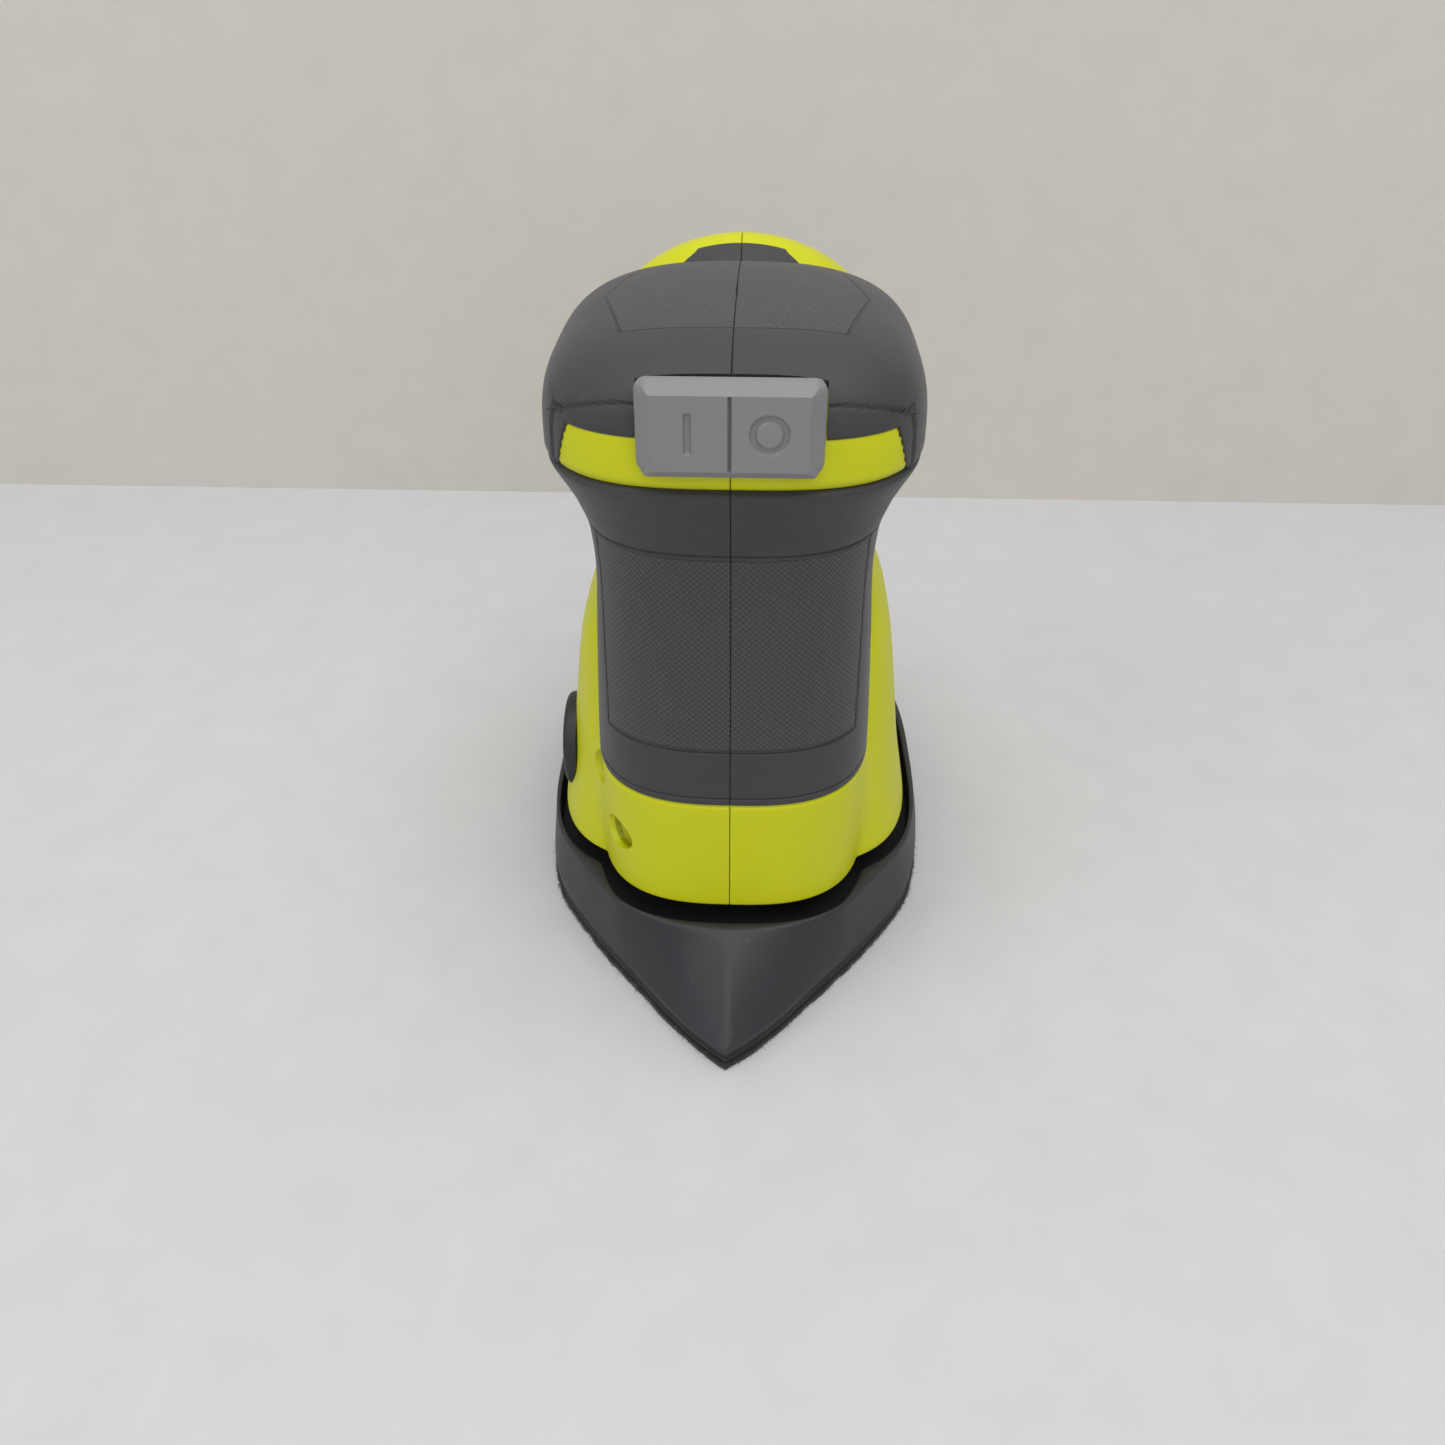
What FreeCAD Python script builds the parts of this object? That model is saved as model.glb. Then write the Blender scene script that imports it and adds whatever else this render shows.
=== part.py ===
"""Cordless detail sander with an iron-shaped sanding pad: shells, grips, motor, eccentric drive and pad.

Millimetres. The origin is on the sanding face, under the motor shaft. +Z is up, the pad's point is
towards -Y, and +X is the side that holds the right-hand shell. The two shells part on the plane X = 0.
"""

import FreeCAD, Part
import math
import os

V = FreeCAD.Vector

# ---------------------------------------------------------------- driving dimensions
TIP_Y = -69.0            # the pad's point
HEEL_Y = 76.0            # the pad's rear edge
PAD_HALF_WIDTH = 49.0
# Right edge of the pad from its point to its heel
PAD_EDGE = ((0.0, TIP_Y), (9.6, -60.6), (19.8, -48.4), (28.4, -38.0), (36.0, -27.6), (43.4, -15.0), (47.4, 2.0),
            (PAD_HALF_WIDTH, 24.0), (47.6, 46.0), (43.0, 62.0), (33.0, 71.8), (0.0, HEEL_Y))
HOOK_THICK = 1.4         # hook fabric on the underside
CUSHION_TOP = 4.6        # top of the rubber cushion
PLATEN_EDGE_TOP = 6.2    # the platen's outer edge
MOAT_FLOOR = 14.6        # top of the plate inside the platen's rim
RIM_TOP = 22.0           # height that the platen's slope would reach at its inner outline

HOUSING_BOTTOM = 23.5
GRIP_BOTTOM = 52.0       # lower edge of the column's rubber grip
BAND_BOTTOM = 126.0      # bright band of the shells that shows under the palm rest
BAND_TOP = 135.5
HEAD_BASE = 128.0        # where the palm rest starts to round over
HEAD_RISE = 21.5
HEAD_HALF_WIDTH = 35.6
HEAD_FRONT_DEPTH = 36.0
HEAD_CENTRE_Y = -14.0
HEAD_POWER = 3.2         # how square the palm rest is in plan

BAY_AXIS_Z = 113.0       # level of the battery bay's widest part
BAY_FRONT_Y = 12.0
BAY_REAR_Y = 64.0

SKIN = 1.8               # thickness of the rubber over-moulding
WALL = 2.6               # thickness of the shells
GRIP_REAR_Y = 8.0        # rear edge of the column's grip
PALM_REAR_Y = 28.0       # rear edge of the palm rest's rubber

ECCENTRICITY = 0.8       # half of the pad's orbit diameter
MOTOR_RADIUS = 18.0
MOTOR_BOTTOM = 47.0
MOTOR_TOP = 97.0
SHAFT_RADIUS = 2.5
RUNNING_GAP = 0.05       # radial clearance of a running fit

FAN_BOTTOM = 31.0
FAN_TOP = 42.0
FAN_RADIUS = 20.0
CHAMBER_RADIUS = 21.5
CHAMBER_WALL = 2.0
CHAMBER_TOP = 45.0
POST_PLACES = ((15.0, -21.0), (26.0, 30.0))      # flexible posts, mirrored in X
POST_RADIUS = 3.6
POST_BOTTOM = 13.0
POST_TOP = 40.0

PORT_Z = 39.0            # dust port on the left side
PORT_RADIUS = 12.6
PORT_BORE = 8.0
PORT_IN_X = -35.6
PORT_STEP_X = -37.5
PORT_OUT_X = -41.4
DUCT_RADIUS = 8.0
DUCT_Z = 38.0

SOCKET_HALF_WIDTH = 20.0  # the hollow that takes the battery's stem
SOCKET_LOW = 86.0
SOCKET_HIGH = 129.0
SOCKET_FRONT_Y = 28.0
SOCKET_WALL = 2.0

SWITCH_HALF_WIDTH = 15.8
SWITCH_LOW = 131.0
SWITCH_HIGH = 147.0
SWITCH_FACE_Y = -54.0
SWITCH_BACK_Y = -46.0
SWITCH_FLOOR_Y = -44.0   # floor of the pocket behind the cap
SWITCH_PIVOT_Y = -40.4
CASE_HALF_WIDTH = 10.0
CASE_LOW = 131.6
CASE_HIGH = 142.0

# (Y, Z) of the shell screws, and the X of the bottom of each one's recess
SCREWS = ((-33.0, 37.0, -12.0), (-23.0, 47.5, -15.0), (52.0, 43.6, -12.0), (42.0, 66.0, -12.0),
          (20.0, 104.0, -12.0))
SCREW_HEAD_RADIUS = 3.2
SCREW_SHANK_RADIUS = 1.5
SCREW_LENGTH = 20.0
RECESS_RADIUS = 3.9
BOSS_RADIUS = 5.2

# Column stations: height, half width, front Y, rear Y, centre Y, squareness
COLUMN = ((HOUSING_BOTTOM, 30.6, -42.0, 50.0, -10.0, 2.8), (52.0, 30.4, -42.0, 50.0, -10.0, 2.8),
          (80.0, 29.4, -41.8, 50.0, -10.0, 2.8), (98.0, 28.6, -42.0, 50.0, -10.0, 2.8),
          (108.0, 29.2, -43.0, 50.0, -10.5, 2.85), (116.0, 31.4, -45.0, 50.0, -11.5, 2.95),
          (123.0, 34.2, -48.0, 50.0, -13.0, 3.1),
          (HEAD_BASE, HEAD_HALF_WIDTH, -50.0, 50.0, HEAD_CENTRE_Y, HEAD_POWER))
COLUMN_LEVELS = 13

# Lower shoulder stations: height, half width, front Y, rear Y
SHOULDER = ((HOUSING_BOTTOM, 42.6, -29.0, 71.0), (40.0, 39.8, -27.0, 69.5), (55.0, 38.0, -25.0, 67.0),
            (70.0, 36.0, -21.0, 62.0), (77.0, 33.2, -17.0, 56.0), (82.0, 28.0, -11.0, 48.0),
            (84.0, 20.0, -4.0, 38.0))
SHOULDER_LEVELS = 10
SHOULDER_CENTRE_Y = 16.0
SHOULDER_POWER = 3.4

# Hollows inside the shells: lowest and highest Z, half width, front Y, rear Y, centre Y, squareness
HOLLOWS = ((HOUSING_BOTTOM - 1, 48.0, 28.0, -39.4, 40.0, -10.0, 2.8),
           (40.0, 118.0, 24.6, -38.0, 40.0, -10.0, 2.8), (112.0, 141.5, 26.5, -42.4, 36.0, -10.0, 2.8),
           (HOUSING_BOTTOM - 1, 40.5, 37.4, -24.6, 67.4, 16.0, 3.4), (39.0, 66.0, 33.6, -21.0, 60.0, 16.0, 3.4),
           (64.0, 76.0, 27.0, -14.0, 52.0, 16.0, 3.4))
BAY_HOLLOW_RADIUS = 26.8

# Palm rest stations: height, rear Y, squareness of the rear of the outline
PALM = ((HEAD_BASE, 50.0, 3.2), (137.0, 46.0, 3.0), (141.0, 40.0, 2.8), (143.5, 34.0, 2.6), (145.3, 27.0, 2.5),
        (146.8, 21.0, 2.4), (148.0, 15.0, 2.3), (148.7, 9.0, 2.2), (149.2, 2.0, 2.2), (149.5, -5.0, 2.2))
PALM_ANGLES = (0.04, 0.167, 0.333, 0.5, 0.667, 0.833, 1.0, 1.167, 1.333, 1.5)
PALM_SQUARENESS = 3.4    # how square the palm rest's upright section is

# Battery bay stations: Y, half width, height over the axis, depth under it, squareness below
BAY = ((BAY_FRONT_Y, 25.0, 19.0, 22.0, 2.0), (18.0, 29.6, 26.0, 29.0, 2.0), (24.0, 33.0, 30.4, 33.0, 2.1),
       (30.0, 35.4, 34.2, 35.8, 2.3), (35.0, 36.0, 35.9, 37.5, 2.6), (44.0, 36.0, 34.2, 39.0, 3.0),
       (BAY_REAR_Y, 35.0, 29.6, 40.0, 4.0))
BAY_SECTIONS = 8

CURVE_POINTS = 6         # points on each quarter of a rounded outline


# ---------------------------------------------------------------- shape helpers
def box(x0, x1, y0, y1, z0, z1):
    """A box between two corners."""
    return Part.makeBox(x1 - x0, y1 - y0, z1 - z0, V(x0, y0, z0))


def rod(radius, start, axis, length):
    """A cylinder from start along axis."""
    return Part.makeCylinder(radius, length, V(*start), V(*axis))


def upright(radius, x, y, z0, z1):
    """A cylinder along Z."""
    return rod(radius, (x, y, z0), (0, 0, 1), z1 - z0)


def tube(outer, inner, x, y, z0, z1):
    """A ring along Z."""
    return upright(outer, x, y, z0, z1).cut(upright(inner, x, y, z0 - 1, z1 + 1))


def fuse(shapes):
    """The union of several shapes."""
    first, rest = shapes[0], shapes[1:]
    return first.fuse(rest).removeSplitter() if rest else first


def mirror_x(shape):
    """The same shape on the other side of X = 0."""
    return shape.mirror(V(0, 0, 0), V(1, 0, 0))


def both_sides(shape):
    """A shape and its mirror image, as one compound."""
    return Part.makeCompound([shape, mirror_x(shape)])


def glide(table, at):
    """A table's later columns at one value of its first: cubic steps that never overshoot."""
    keys = [row[0] for row in table]
    k = max(i for i in range(len(keys) - 1) if keys[i] <= at + 1e-9 or i == 0)
    gap, out = keys[k + 1] - keys[k], []
    t = (at - keys[k]) / gap
    for c in range(1, len(table[0])):
        rate = [(table[i + 1][c] - table[i][c]) / (keys[i + 1] - keys[i]) for i in range(len(keys) - 1)]

        def tangent(i):
            before, after = rate[max(0, i - 1)], rate[min(len(rate) - 1, i)]
            return 0.0 if before * after <= 0 else 2 * before * after / (before + after)

        p0, p1, m0, m1 = table[k][c], table[k + 1][c], tangent(k) * gap, tangent(k + 1) * gap
        out.append(p0 * (1 + 2 * t) * (1 - t) ** 2 + m0 * t * (1 - t) ** 2
                   + p1 * t * t * (3 - 2 * t) - m1 * t * t * (1 - t))
    return out


def even(first, last, count):
    """Evenly spaced values, ends included."""
    return [first + (last - first) * k / (count - 1) for k in range(count)]


def half_outline(z, half_width, front, rear, centre, front_power, rear_power):
    """Right half of a rounded outline at height z, closed along X = 0: two superellipse quarters."""
    points = []
    for end, power, turn in ((front, front_power, 0), (rear, rear_power, 1)):
        quarter = []
        for k in range(CURVE_POINTS):
            a = math.pi / 2 * k / (CURVE_POINTS - 1)
            x = half_width * math.sin(a) ** (2 / power)
            y = centre + (end - centre) * abs(math.cos(a)) ** (2 / power)
            quarter.append(V(x if k else 0.0, y if k < CURVE_POINTS - 1 else centre, z))
        points += quarter[::-1][1:] if turn else quarter
    curve = Part.BSplineCurve()
    curve.interpolate(points, InitialTangent=V(1, 0, 0), FinalTangent=V(-1, 0, 0))
    return Part.Wire([curve.toShape(), Part.makeLine(points[-1], points[0])])


def loft(wires):
    """A solid through closed outlines."""
    return Part.makeLoft(wires, True, False)


# ---------------------------------------------------------------- outer form, right half
def trunk(inset):
    """The upright that holds the motor, flaring into the palm rest, up to the palm rest's flat top."""
    wires = []
    for z in even(HOUSING_BOTTOM, HEAD_BASE, COLUMN_LEVELS):
        half, front, rear, centre, power = glide(COLUMN, z)
        wires.append(half_outline(z, half - inset, front + inset, rear - inset, centre, power, power))
    for a in PALM_ANGLES:
        spread, lift = math.cos(a) ** (2 / PALM_SQUARENESS), math.sin(a) ** (2 / PALM_SQUARENESS)
        rear, rear_power = glide(PALM, HEAD_BASE + HEAD_RISE * lift)
        front = HEAD_CENTRE_Y - (HEAD_FRONT_DEPTH - inset) * spread
        half = (HEAD_HALF_WIDTH - inset) * spread
        wires.append(half_outline(HEAD_BASE + (HEAD_RISE - inset) * lift, half, front, rear - inset,
                                  HEAD_CENTRE_Y, HEAD_POWER, rear_power))
    return loft(wires)


def shoulder(inset):
    """The lower body over the pad."""
    wires = []
    for z in even(HOUSING_BOTTOM, SHOULDER[-1][0], SHOULDER_LEVELS):
        half, front, rear = glide(SHOULDER, z)
        level = z - (inset if z > HOUSING_BOTTOM else 0)
        wires.append(half_outline(level, half - inset, front + inset, rear - inset,
                                  SHOULDER_CENTRE_Y, SHOULDER_POWER, SHOULDER_POWER))
    return loft(wires)


def quarter(half_width, rise, power, closing):
    """Points of a superellipse quarter from the top to the side, as (x, height over the axis)."""
    points = []
    for k in range(CURVE_POINTS + 1):
        a = math.pi / 2 * k / CURVE_POINTS
        x = half_width * math.sin(a) ** (2 / power) if k else 0.0
        z = rise * abs(math.cos(a)) ** (2 / power) if k < CURVE_POINTS else 0.0
        points.append((x, z))
    return points[:-1] if closing else points


def bay(inset):
    """The rear body that takes the battery: a round top, and a lower half that squares off rearwards."""
    wires = []
    for y in even(BAY_FRONT_Y, BAY_REAR_Y, BAY_SECTIONS):
        half, rise, depth, power = glide(BAY, y)
        along = (y - BAY_FRONT_Y) / (BAY_REAR_Y - BAY_FRONT_Y)
        level = y + inset * (1 - 2 * along)
        top = quarter(half - inset, rise - inset, 2.0, True)
        low = [(x, -z) for x, z in quarter(half - inset, depth - inset, power, False)[::-1]]
        points = [V(x, level, BAY_AXIS_Z + z) for x, z in top + low]
        curve = Part.BSplineCurve()
        curve.interpolate(points, InitialTangent=V(1, 0, 0), FinalTangent=V(-1, 0, 0))
        wires.append(Part.Wire([curve.toShape(), Part.makeLine(points[-1], points[0])]))
    return loft(wires)


# ---------------------------------------------------------------- pad outline
def pad_curve(z, inset):
    """Right edge of the iron-shaped pad at height z, from its point to its heel, drawn inset."""
    wide, long = 1 - inset / PAD_HALF_WIDTH, 1 - 2 * inset / (HEEL_Y - TIP_Y)
    middle = (HEEL_Y + TIP_Y) / 2
    points = [V(x * wide, middle + (y - middle) * long, z) for x, y in PAD_EDGE]
    curve = Part.BSplineCurve()
    curve.interpolate(points, InitialTangent=V(30, 22, 0), FinalTangent=V(-34, 0, 0))
    return curve.toShape()


def pad_half(z):
    """Right half of the pad's outline at height z, closed along X = 0."""
    return Part.Wire([pad_curve(z, 0), Part.makeLine(V(0, HEEL_Y, z), V(0, TIP_Y, z))])


def pad_slab(z0, z1, inset=0.0):
    """A layer of the pad."""
    edge = pad_curve(z0, inset)
    return Part.Face(Part.Wire([edge, mirror_x(edge)])).extrude(V(0, 0, z1 - z0))


def rim_half(z):
    """Right half of the blunt outline that the platen's slope climbs to."""
    return half_outline(z, 45.6, -46.8, 73.4, 12.0, 2.25, 3.6)


def slope_half():
    """Right half of the platen's sloping top, ruled between the pad's edge and the blunt outline."""
    return Part.makeLoft([pad_half(PLATEN_EDGE_TOP), rim_half(RIM_TOP)], True, True)


# ---------------------------------------------------------------- shells and over-moulding
def grip_zone():
    """Where the column's grip lies: its rear edge leans back towards the top."""
    outline = [V(0, -80, GRIP_BOTTOM), V(0, GRIP_REAR_Y, GRIP_BOTTOM), V(0, GRIP_REAR_Y + 2, 96),
               V(0, 18, 118), V(0, 20, BAND_BOTTOM), V(0, -80, BAND_BOTTOM)]
    return Part.Face(Part.makePolygon(outline + outline[:1])).extrude(V(60, 0, 0))


def palm_zone(rear):
    """Where the palm rest's rubber lies: over the band in front, down to the grip at the sides."""
    outline = [V(0, -80, BAND_TOP), V(0, -42.5, BAND_TOP), V(0, -39.5, BAND_BOTTOM + 0.4),
               V(0, rear, BAND_BOTTOM + 0.4), V(0, rear, 170), V(0, -80, 170)]
    return Part.Face(Part.makePolygon(outline + outline[:1])).extrude(V(60, 0, 0))


def grip_half():
    """Right half of the column's grip."""
    return biggest(trunk(0).cut(trunk(SKIN)).common(grip_zone()).cut(bay(-0.1)).cut(shoulder(-0.1)))


def palm_half():
    """Right half of the palm rest's rubber."""
    skin = trunk(0).cut(trunk(SKIN)).common(palm_zone(PALM_REAR_Y))
    return biggest(skin.cut(bay(-0.1)).cut(switch_pocket()))


def biggest(shape):
    """The largest solid of a shape."""
    return max(shape.Solids, key=lambda s: s.Volume)


def switch_pocket():
    """The pocket in front that the switch's cap moves in."""
    margin = 1.2
    return box(-SWITCH_HALF_WIDTH - margin, SWITCH_HALF_WIDTH + margin, -60, SWITCH_FLOOR_Y,
               SWITCH_LOW - 0.8, SWITCH_HIGH + 0.8)


def outer_core():
    """Right half of the shells' outer form: bare plastic, with a step down under the rubber."""
    ground = trunk(SKIN)
    body = trunk(0).cut(grip_zone().cut(ground)).cut(palm_zone(60).cut(ground))
    return fuse([body, shoulder(0), bay(0)])


def inner_core():
    """Right half of the space inside the shells, open at the bottom: upright hollows one over another."""
    solids = []
    for z0, z1, half, front, rear, centre, power in HOLLOWS:
        face = Part.Face(half_outline(z0, half, front, rear, centre, power, power))
        solids.append(face.extrude(V(0, 0, z1 - z0)))
    barrel = rod(BAY_HOLLOW_RADIUS, (0, 30.0, BAY_AXIS_Z), (0, 1, 0), BAY_REAR_Y - WALL - 30.0)
    solids.append(barrel.common(box(0, 60, 0, 80, 0, 200)))
    return fuse(solids)


def stiffeners(boss_radius):
    """What stays solid inside one shell: ribs round the motor and socket, bosses, the switch's cradle."""
    kept = [box(-1, 60, -60, 24, 57, 59), box(-1, 60, -60, 58, 86, 88), box(-1, 60, 22, 58, 124, 126),
            box(-1, 60, -16, 66, 41.5, 43.5),
            box(-1, 22, SWITCH_FLOOR_Y, SWITCH_FLOOR_Y + 1.2, SWITCH_LOW - 3, SWITCH_HIGH + 3),
            box(CASE_HALF_WIDTH, CASE_HALF_WIDTH + 2, -40, -24, CASE_LOW - 3, CASE_HIGH + 6)]
    for y, z, floor in SCREWS:
        kept.append(rod(boss_radius, (-1, y, z), (1, 0, 0), 61))
    return kept


def shell_half(core, side):
    """One shell from the outer form's right half. side is -1 for the left, with the screw recesses."""
    void = inner_core()
    for kept in stiffeners(BOSS_RADIUS if side < 0 else SCREW_SHANK_RADIUS + 2.2):
        void = void.cut(kept)
    solid = biggest(core.cut(void))
    if side < 0:
        solid = mirror_x(solid)
    for y, z, floor in SCREWS:
        if side < 0:
            solid = solid.cut(rod(RECESS_RADIUS, (floor, y, z), (-1, 0, 0), 60))
            solid = solid.cut(rod(SCREW_SHANK_RADIUS + 0.2, (1, y, z), (-1, 0, 0), 60))
        else:
            depth = SCREW_LENGTH + floor + 2
            solid = solid.cut(rod(SCREW_SHANK_RADIUS + 0.1, (-1, y, z), (1, 0, 0), depth))
    return open_shell(solid, side)


def open_shell(solid, side):
    """Cuts the shell's openings: socket, switch, motor, fan chamber, posts, air slots and dust port."""
    w, r = SOCKET_HALF_WIDTH + SOCKET_WALL, SOCKET_WALL
    cuts = [box(-w, w, SOCKET_FRONT_Y - r, 80, SOCKET_LOW - r, SOCKET_HIGH + r), switch_pocket(),
            box(-CASE_HALF_WIDTH, CASE_HALF_WIDTH, -39, -20, CASE_LOW, CASE_HIGH + 1),
            box(-6, 6, SWITCH_FLOOR_Y - 1, -38, CASE_LOW - 0.5, CASE_HIGH + 0.5),
            upright(MOTOR_RADIUS + RUNNING_GAP, 0, 0, MOTOR_BOTTOM - 2.5, MOTOR_TOP + 8),
            upright(CHAMBER_RADIUS + CHAMBER_WALL + RUNNING_GAP, 0, 0, 10, CHAMBER_TOP)]
    cuts += [upright(5.2, s * x, y, 20, POST_TOP + 1.2) for x, y in POST_PLACES for s in (1, -1)]
    for k in range(4):
        y = 40.0 + 5.0 * k
        cuts.append(box(side * 36 - 12, side * 36 + 12, y, y + 2.2, 91.0, 104.0))
    if side < 0:
        cuts.append(rod(PORT_RADIUS, (PORT_STEP_X, 0, PORT_Z), (-1, 0, 0), 30))
        cuts.append(rod(PORT_RADIUS - 2.6, (PORT_IN_X + 4, 0, PORT_Z), (-1, 0, 0), 30))
        cuts.append(rod(DUCT_RADIUS + 0.1, (-15, 0, DUCT_Z), (-1, 0, 0), 21))
    for cut in cuts:
        solid = solid.cut(cut)
    return biggest(solid)


# ---------------------------------------------------------------- dust path and chassis
def chassis():
    """The lower frame: fan chamber, motor seat, dust duct and the sockets of the flexible posts."""
    outer = CHAMBER_RADIUS + CHAMBER_WALL
    wall = tube(outer, CHAMBER_RADIUS, 0, 0, 29.0, CHAMBER_TOP - 1)
    plate = tube(outer, 7.0, 0, 0, CHAMBER_TOP - 2, CHAMBER_TOP)
    seat_ring = tube(MOTOR_RADIUS, 7.0, 0, 0, CHAMBER_TOP - 1, MOTOR_BOTTOM)
    solids = [wall, plate, seat_ring]
    for x, y in POST_PLACES:
        reach = math.hypot(x, y)
        arm = box(CHAMBER_RADIUS + 0.5, reach, -3, 3, 36.5, POST_TOP)
        arm.rotate(V(0, 0, 0), V(0, 0, 1), math.degrees(math.atan2(y, x)))
        seat = upright(5.0, x, y, 34.0, POST_TOP + 1)
        solids += [arm, seat, mirror_x(arm), mirror_x(seat)]
    solids.append(rod(DUCT_RADIUS, (-18, 0, DUCT_Z), (-1, 0, 0), -PORT_IN_X - 18.1))
    frame = fuse(solids)
    frame = frame.cut(rod(DUCT_RADIUS - 1.8, (-10, 0, DUCT_Z), (-1, 0, 0), 40))
    frame = frame.cut(upright(CHAMBER_RADIUS, 0, 0, 20, CHAMBER_TOP - 2))
    for x, y in POST_PLACES:
        for sign in (1, -1):
            frame = frame.cut(upright(POST_RADIUS, sign * x, y, 28, POST_TOP))
    return biggest(frame)


def dust_port():
    """The round collar on the left side that a dust bag or a hose adaptor pushes into."""
    collar = rod(PORT_RADIUS, (PORT_STEP_X, 0, PORT_Z), (-1, 0, 0), PORT_STEP_X - PORT_OUT_X)
    collar = collar.makeFillet(1.2, [e for e in collar.Edges if e.BoundBox.XMax < PORT_OUT_X + 0.01])
    neck = rod(PORT_RADIUS - 2.6, (PORT_IN_X, 0, PORT_Z), (-1, 0, 0), 5)
    port = fuse([collar, neck])
    return port.cut(rod(PORT_BORE, (-30, 0, PORT_Z), (-1, 0, 0), 20))


def battery_socket():
    """The liner of the hollow that takes the battery's stem, open to the rear."""
    w, r = SOCKET_HALF_WIDTH, SOCKET_WALL
    liner = box(-w - r, w + r, SOCKET_FRONT_Y - r, BAY_REAR_Y - 1, SOCKET_LOW - r, SOCKET_HIGH + r)
    liner = liner.cut(box(-w, w, SOCKET_FRONT_Y, 80, SOCKET_LOW, SOCKET_HIGH))
    rails = [box(sx * w - 1.5, sx * w + 1.5, SOCKET_FRONT_Y + 2, BAY_REAR_Y - 4, 98.0, 102.0)
             for sx in (-1, 1)]
    return fuse([liner] + rails)


def terminal_block():
    """The insulator at the bottom of the socket that holds the contacts."""
    block = box(-14, 14, SOCKET_FRONT_Y, SOCKET_FRONT_Y + 6, 112.0, 124.0)
    for x in (-9.0, 0.0, 9.0):
        block = block.cut(box(x - 0.5, x + 0.5, SOCKET_FRONT_Y + 1, SOCKET_FRONT_Y + 7, 114.0, 122.0))
    return block


def contact_blades():
    """The three contacts that the battery's clips grip."""
    return Part.makeCompound([box(x - 0.5, x + 0.5, SOCKET_FRONT_Y + 1, SOCKET_FRONT_Y + 15, 114.0, 122.0)
                              for x in (-9.0, 0.0, 9.0)])


# ---------------------------------------------------------------- switch
def switch_cap():
    """The grey cap: a flat, chamfered block with a bar on its left half and a ring on its right."""
    w = SWITCH_HALF_WIDTH
    cap = box(-w, w, SWITCH_FACE_Y, SWITCH_BACK_Y, SWITCH_LOW, SWITCH_HIGH)
    front = [e for e in cap.Edges if e.BoundBox.YMax < SWITCH_FACE_Y + 0.01]
    corners = [e for e in cap.Edges if e.BoundBox.XLength < 0.01 and e.BoundBox.ZLength < 0.01]
    cap = cap.makeFillet(1.6, corners)
    front = [e for e in cap.Edges if e.BoundBox.YMax < SWITCH_FACE_Y + 0.01]
    cap = cap.makeChamfer(1.2, front)
    cap = cap.cut(box(-0.35, 0.35, SWITCH_FACE_Y - 1, SWITCH_FACE_Y + 0.6, SWITCH_LOW + 1.5,
                      SWITCH_HIGH - 1.5))
    mid = (SWITCH_LOW + SWITCH_HIGH) / 2
    cap = cap.cut(box(-7.2, -6.0, SWITCH_FACE_Y - 1, SWITCH_FACE_Y + 0.5, mid - 3.6, mid + 3.6))
    ring = rod(3.3, (6.4, SWITCH_FACE_Y - 1, mid), (0, 1, 0), 1.5).cut(
        rod(2.0, (6.4, SWITCH_FACE_Y - 2, mid), (0, 1, 0), 4))
    return cap.cut(ring)


def rocker_lever():
    """The lever behind the cap: a stem, an upright barrel and its two pivot pins."""
    barrel = upright(2.2, 0, SWITCH_PIVOT_Y, CASE_LOW + 1.8, CASE_HIGH - 1.8)
    stem = box(-1.6, 1.6, SWITCH_BACK_Y, SWITCH_PIVOT_Y, CASE_LOW + 3, CASE_HIGH - 3)
    pins = upright(1.2, 0, SWITCH_PIVOT_Y, CASE_LOW + 0.2, CASE_HIGH - 0.2)
    return fuse([barrel, stem, pins])


def switch_body():
    """The switch's case, with two ears that hold the lever's pins."""
    case = box(-CASE_HALF_WIDTH, CASE_HALF_WIDTH, -36.5, -22, CASE_LOW, CASE_HIGH)
    ears = []
    for z0 in (CASE_LOW, CASE_HIGH - 1.5):
        ear = box(-3.0, 3.0, SWITCH_PIVOT_Y - 2.2, -36.0, z0, z0 + 1.5)
        ears.append(ear.cut(upright(1.2 + RUNNING_GAP, 0, SWITCH_PIVOT_Y, z0 - 1, z0 + 3)))
    return fuse([case] + ears)


# ---------------------------------------------------------------- motor
def motor_can():
    """The motor's steel can, with a bearing boss below."""
    can = tube(MOTOR_RADIUS, MOTOR_RADIUS - 1.6, 0, 0, MOTOR_BOTTOM, MOTOR_TOP)
    floor = tube(MOTOR_RADIUS, 6.0, 0, 0, MOTOR_BOTTOM, MOTOR_BOTTOM + 1.6)
    return fuse([can, floor])


def magnets():
    """Two arc magnets inside the can."""
    ring = tube(MOTOR_RADIUS - 1.6, MOTOR_RADIUS - 4.6, 0, 0, MOTOR_BOTTOM + 7, MOTOR_TOP - 9)
    return Part.makeCompound([ring.common(box(3, 30, -30, 30, 0, 200)),
                              ring.common(box(-30, -3, -30, 30, 0, 200))])


def lower_bearing():
    """The bearing at the bottom of the motor."""
    return tube(6.0, SHAFT_RADIUS + RUNNING_GAP, 0, 0, MOTOR_BOTTOM - 1, MOTOR_BOTTOM + 4)


def end_cap():
    """The plastic cap on the motor that holds the brushes and the upper bush."""
    cap = tube(MOTOR_RADIUS - 0.2, 4.0, 0, 0, MOTOR_TOP, MOTOR_TOP + 3)
    collar = tube(7.0, 4.0, 0, 0, MOTOR_TOP + 3, MOTOR_TOP + 7)
    return fuse([cap, collar])


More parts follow.
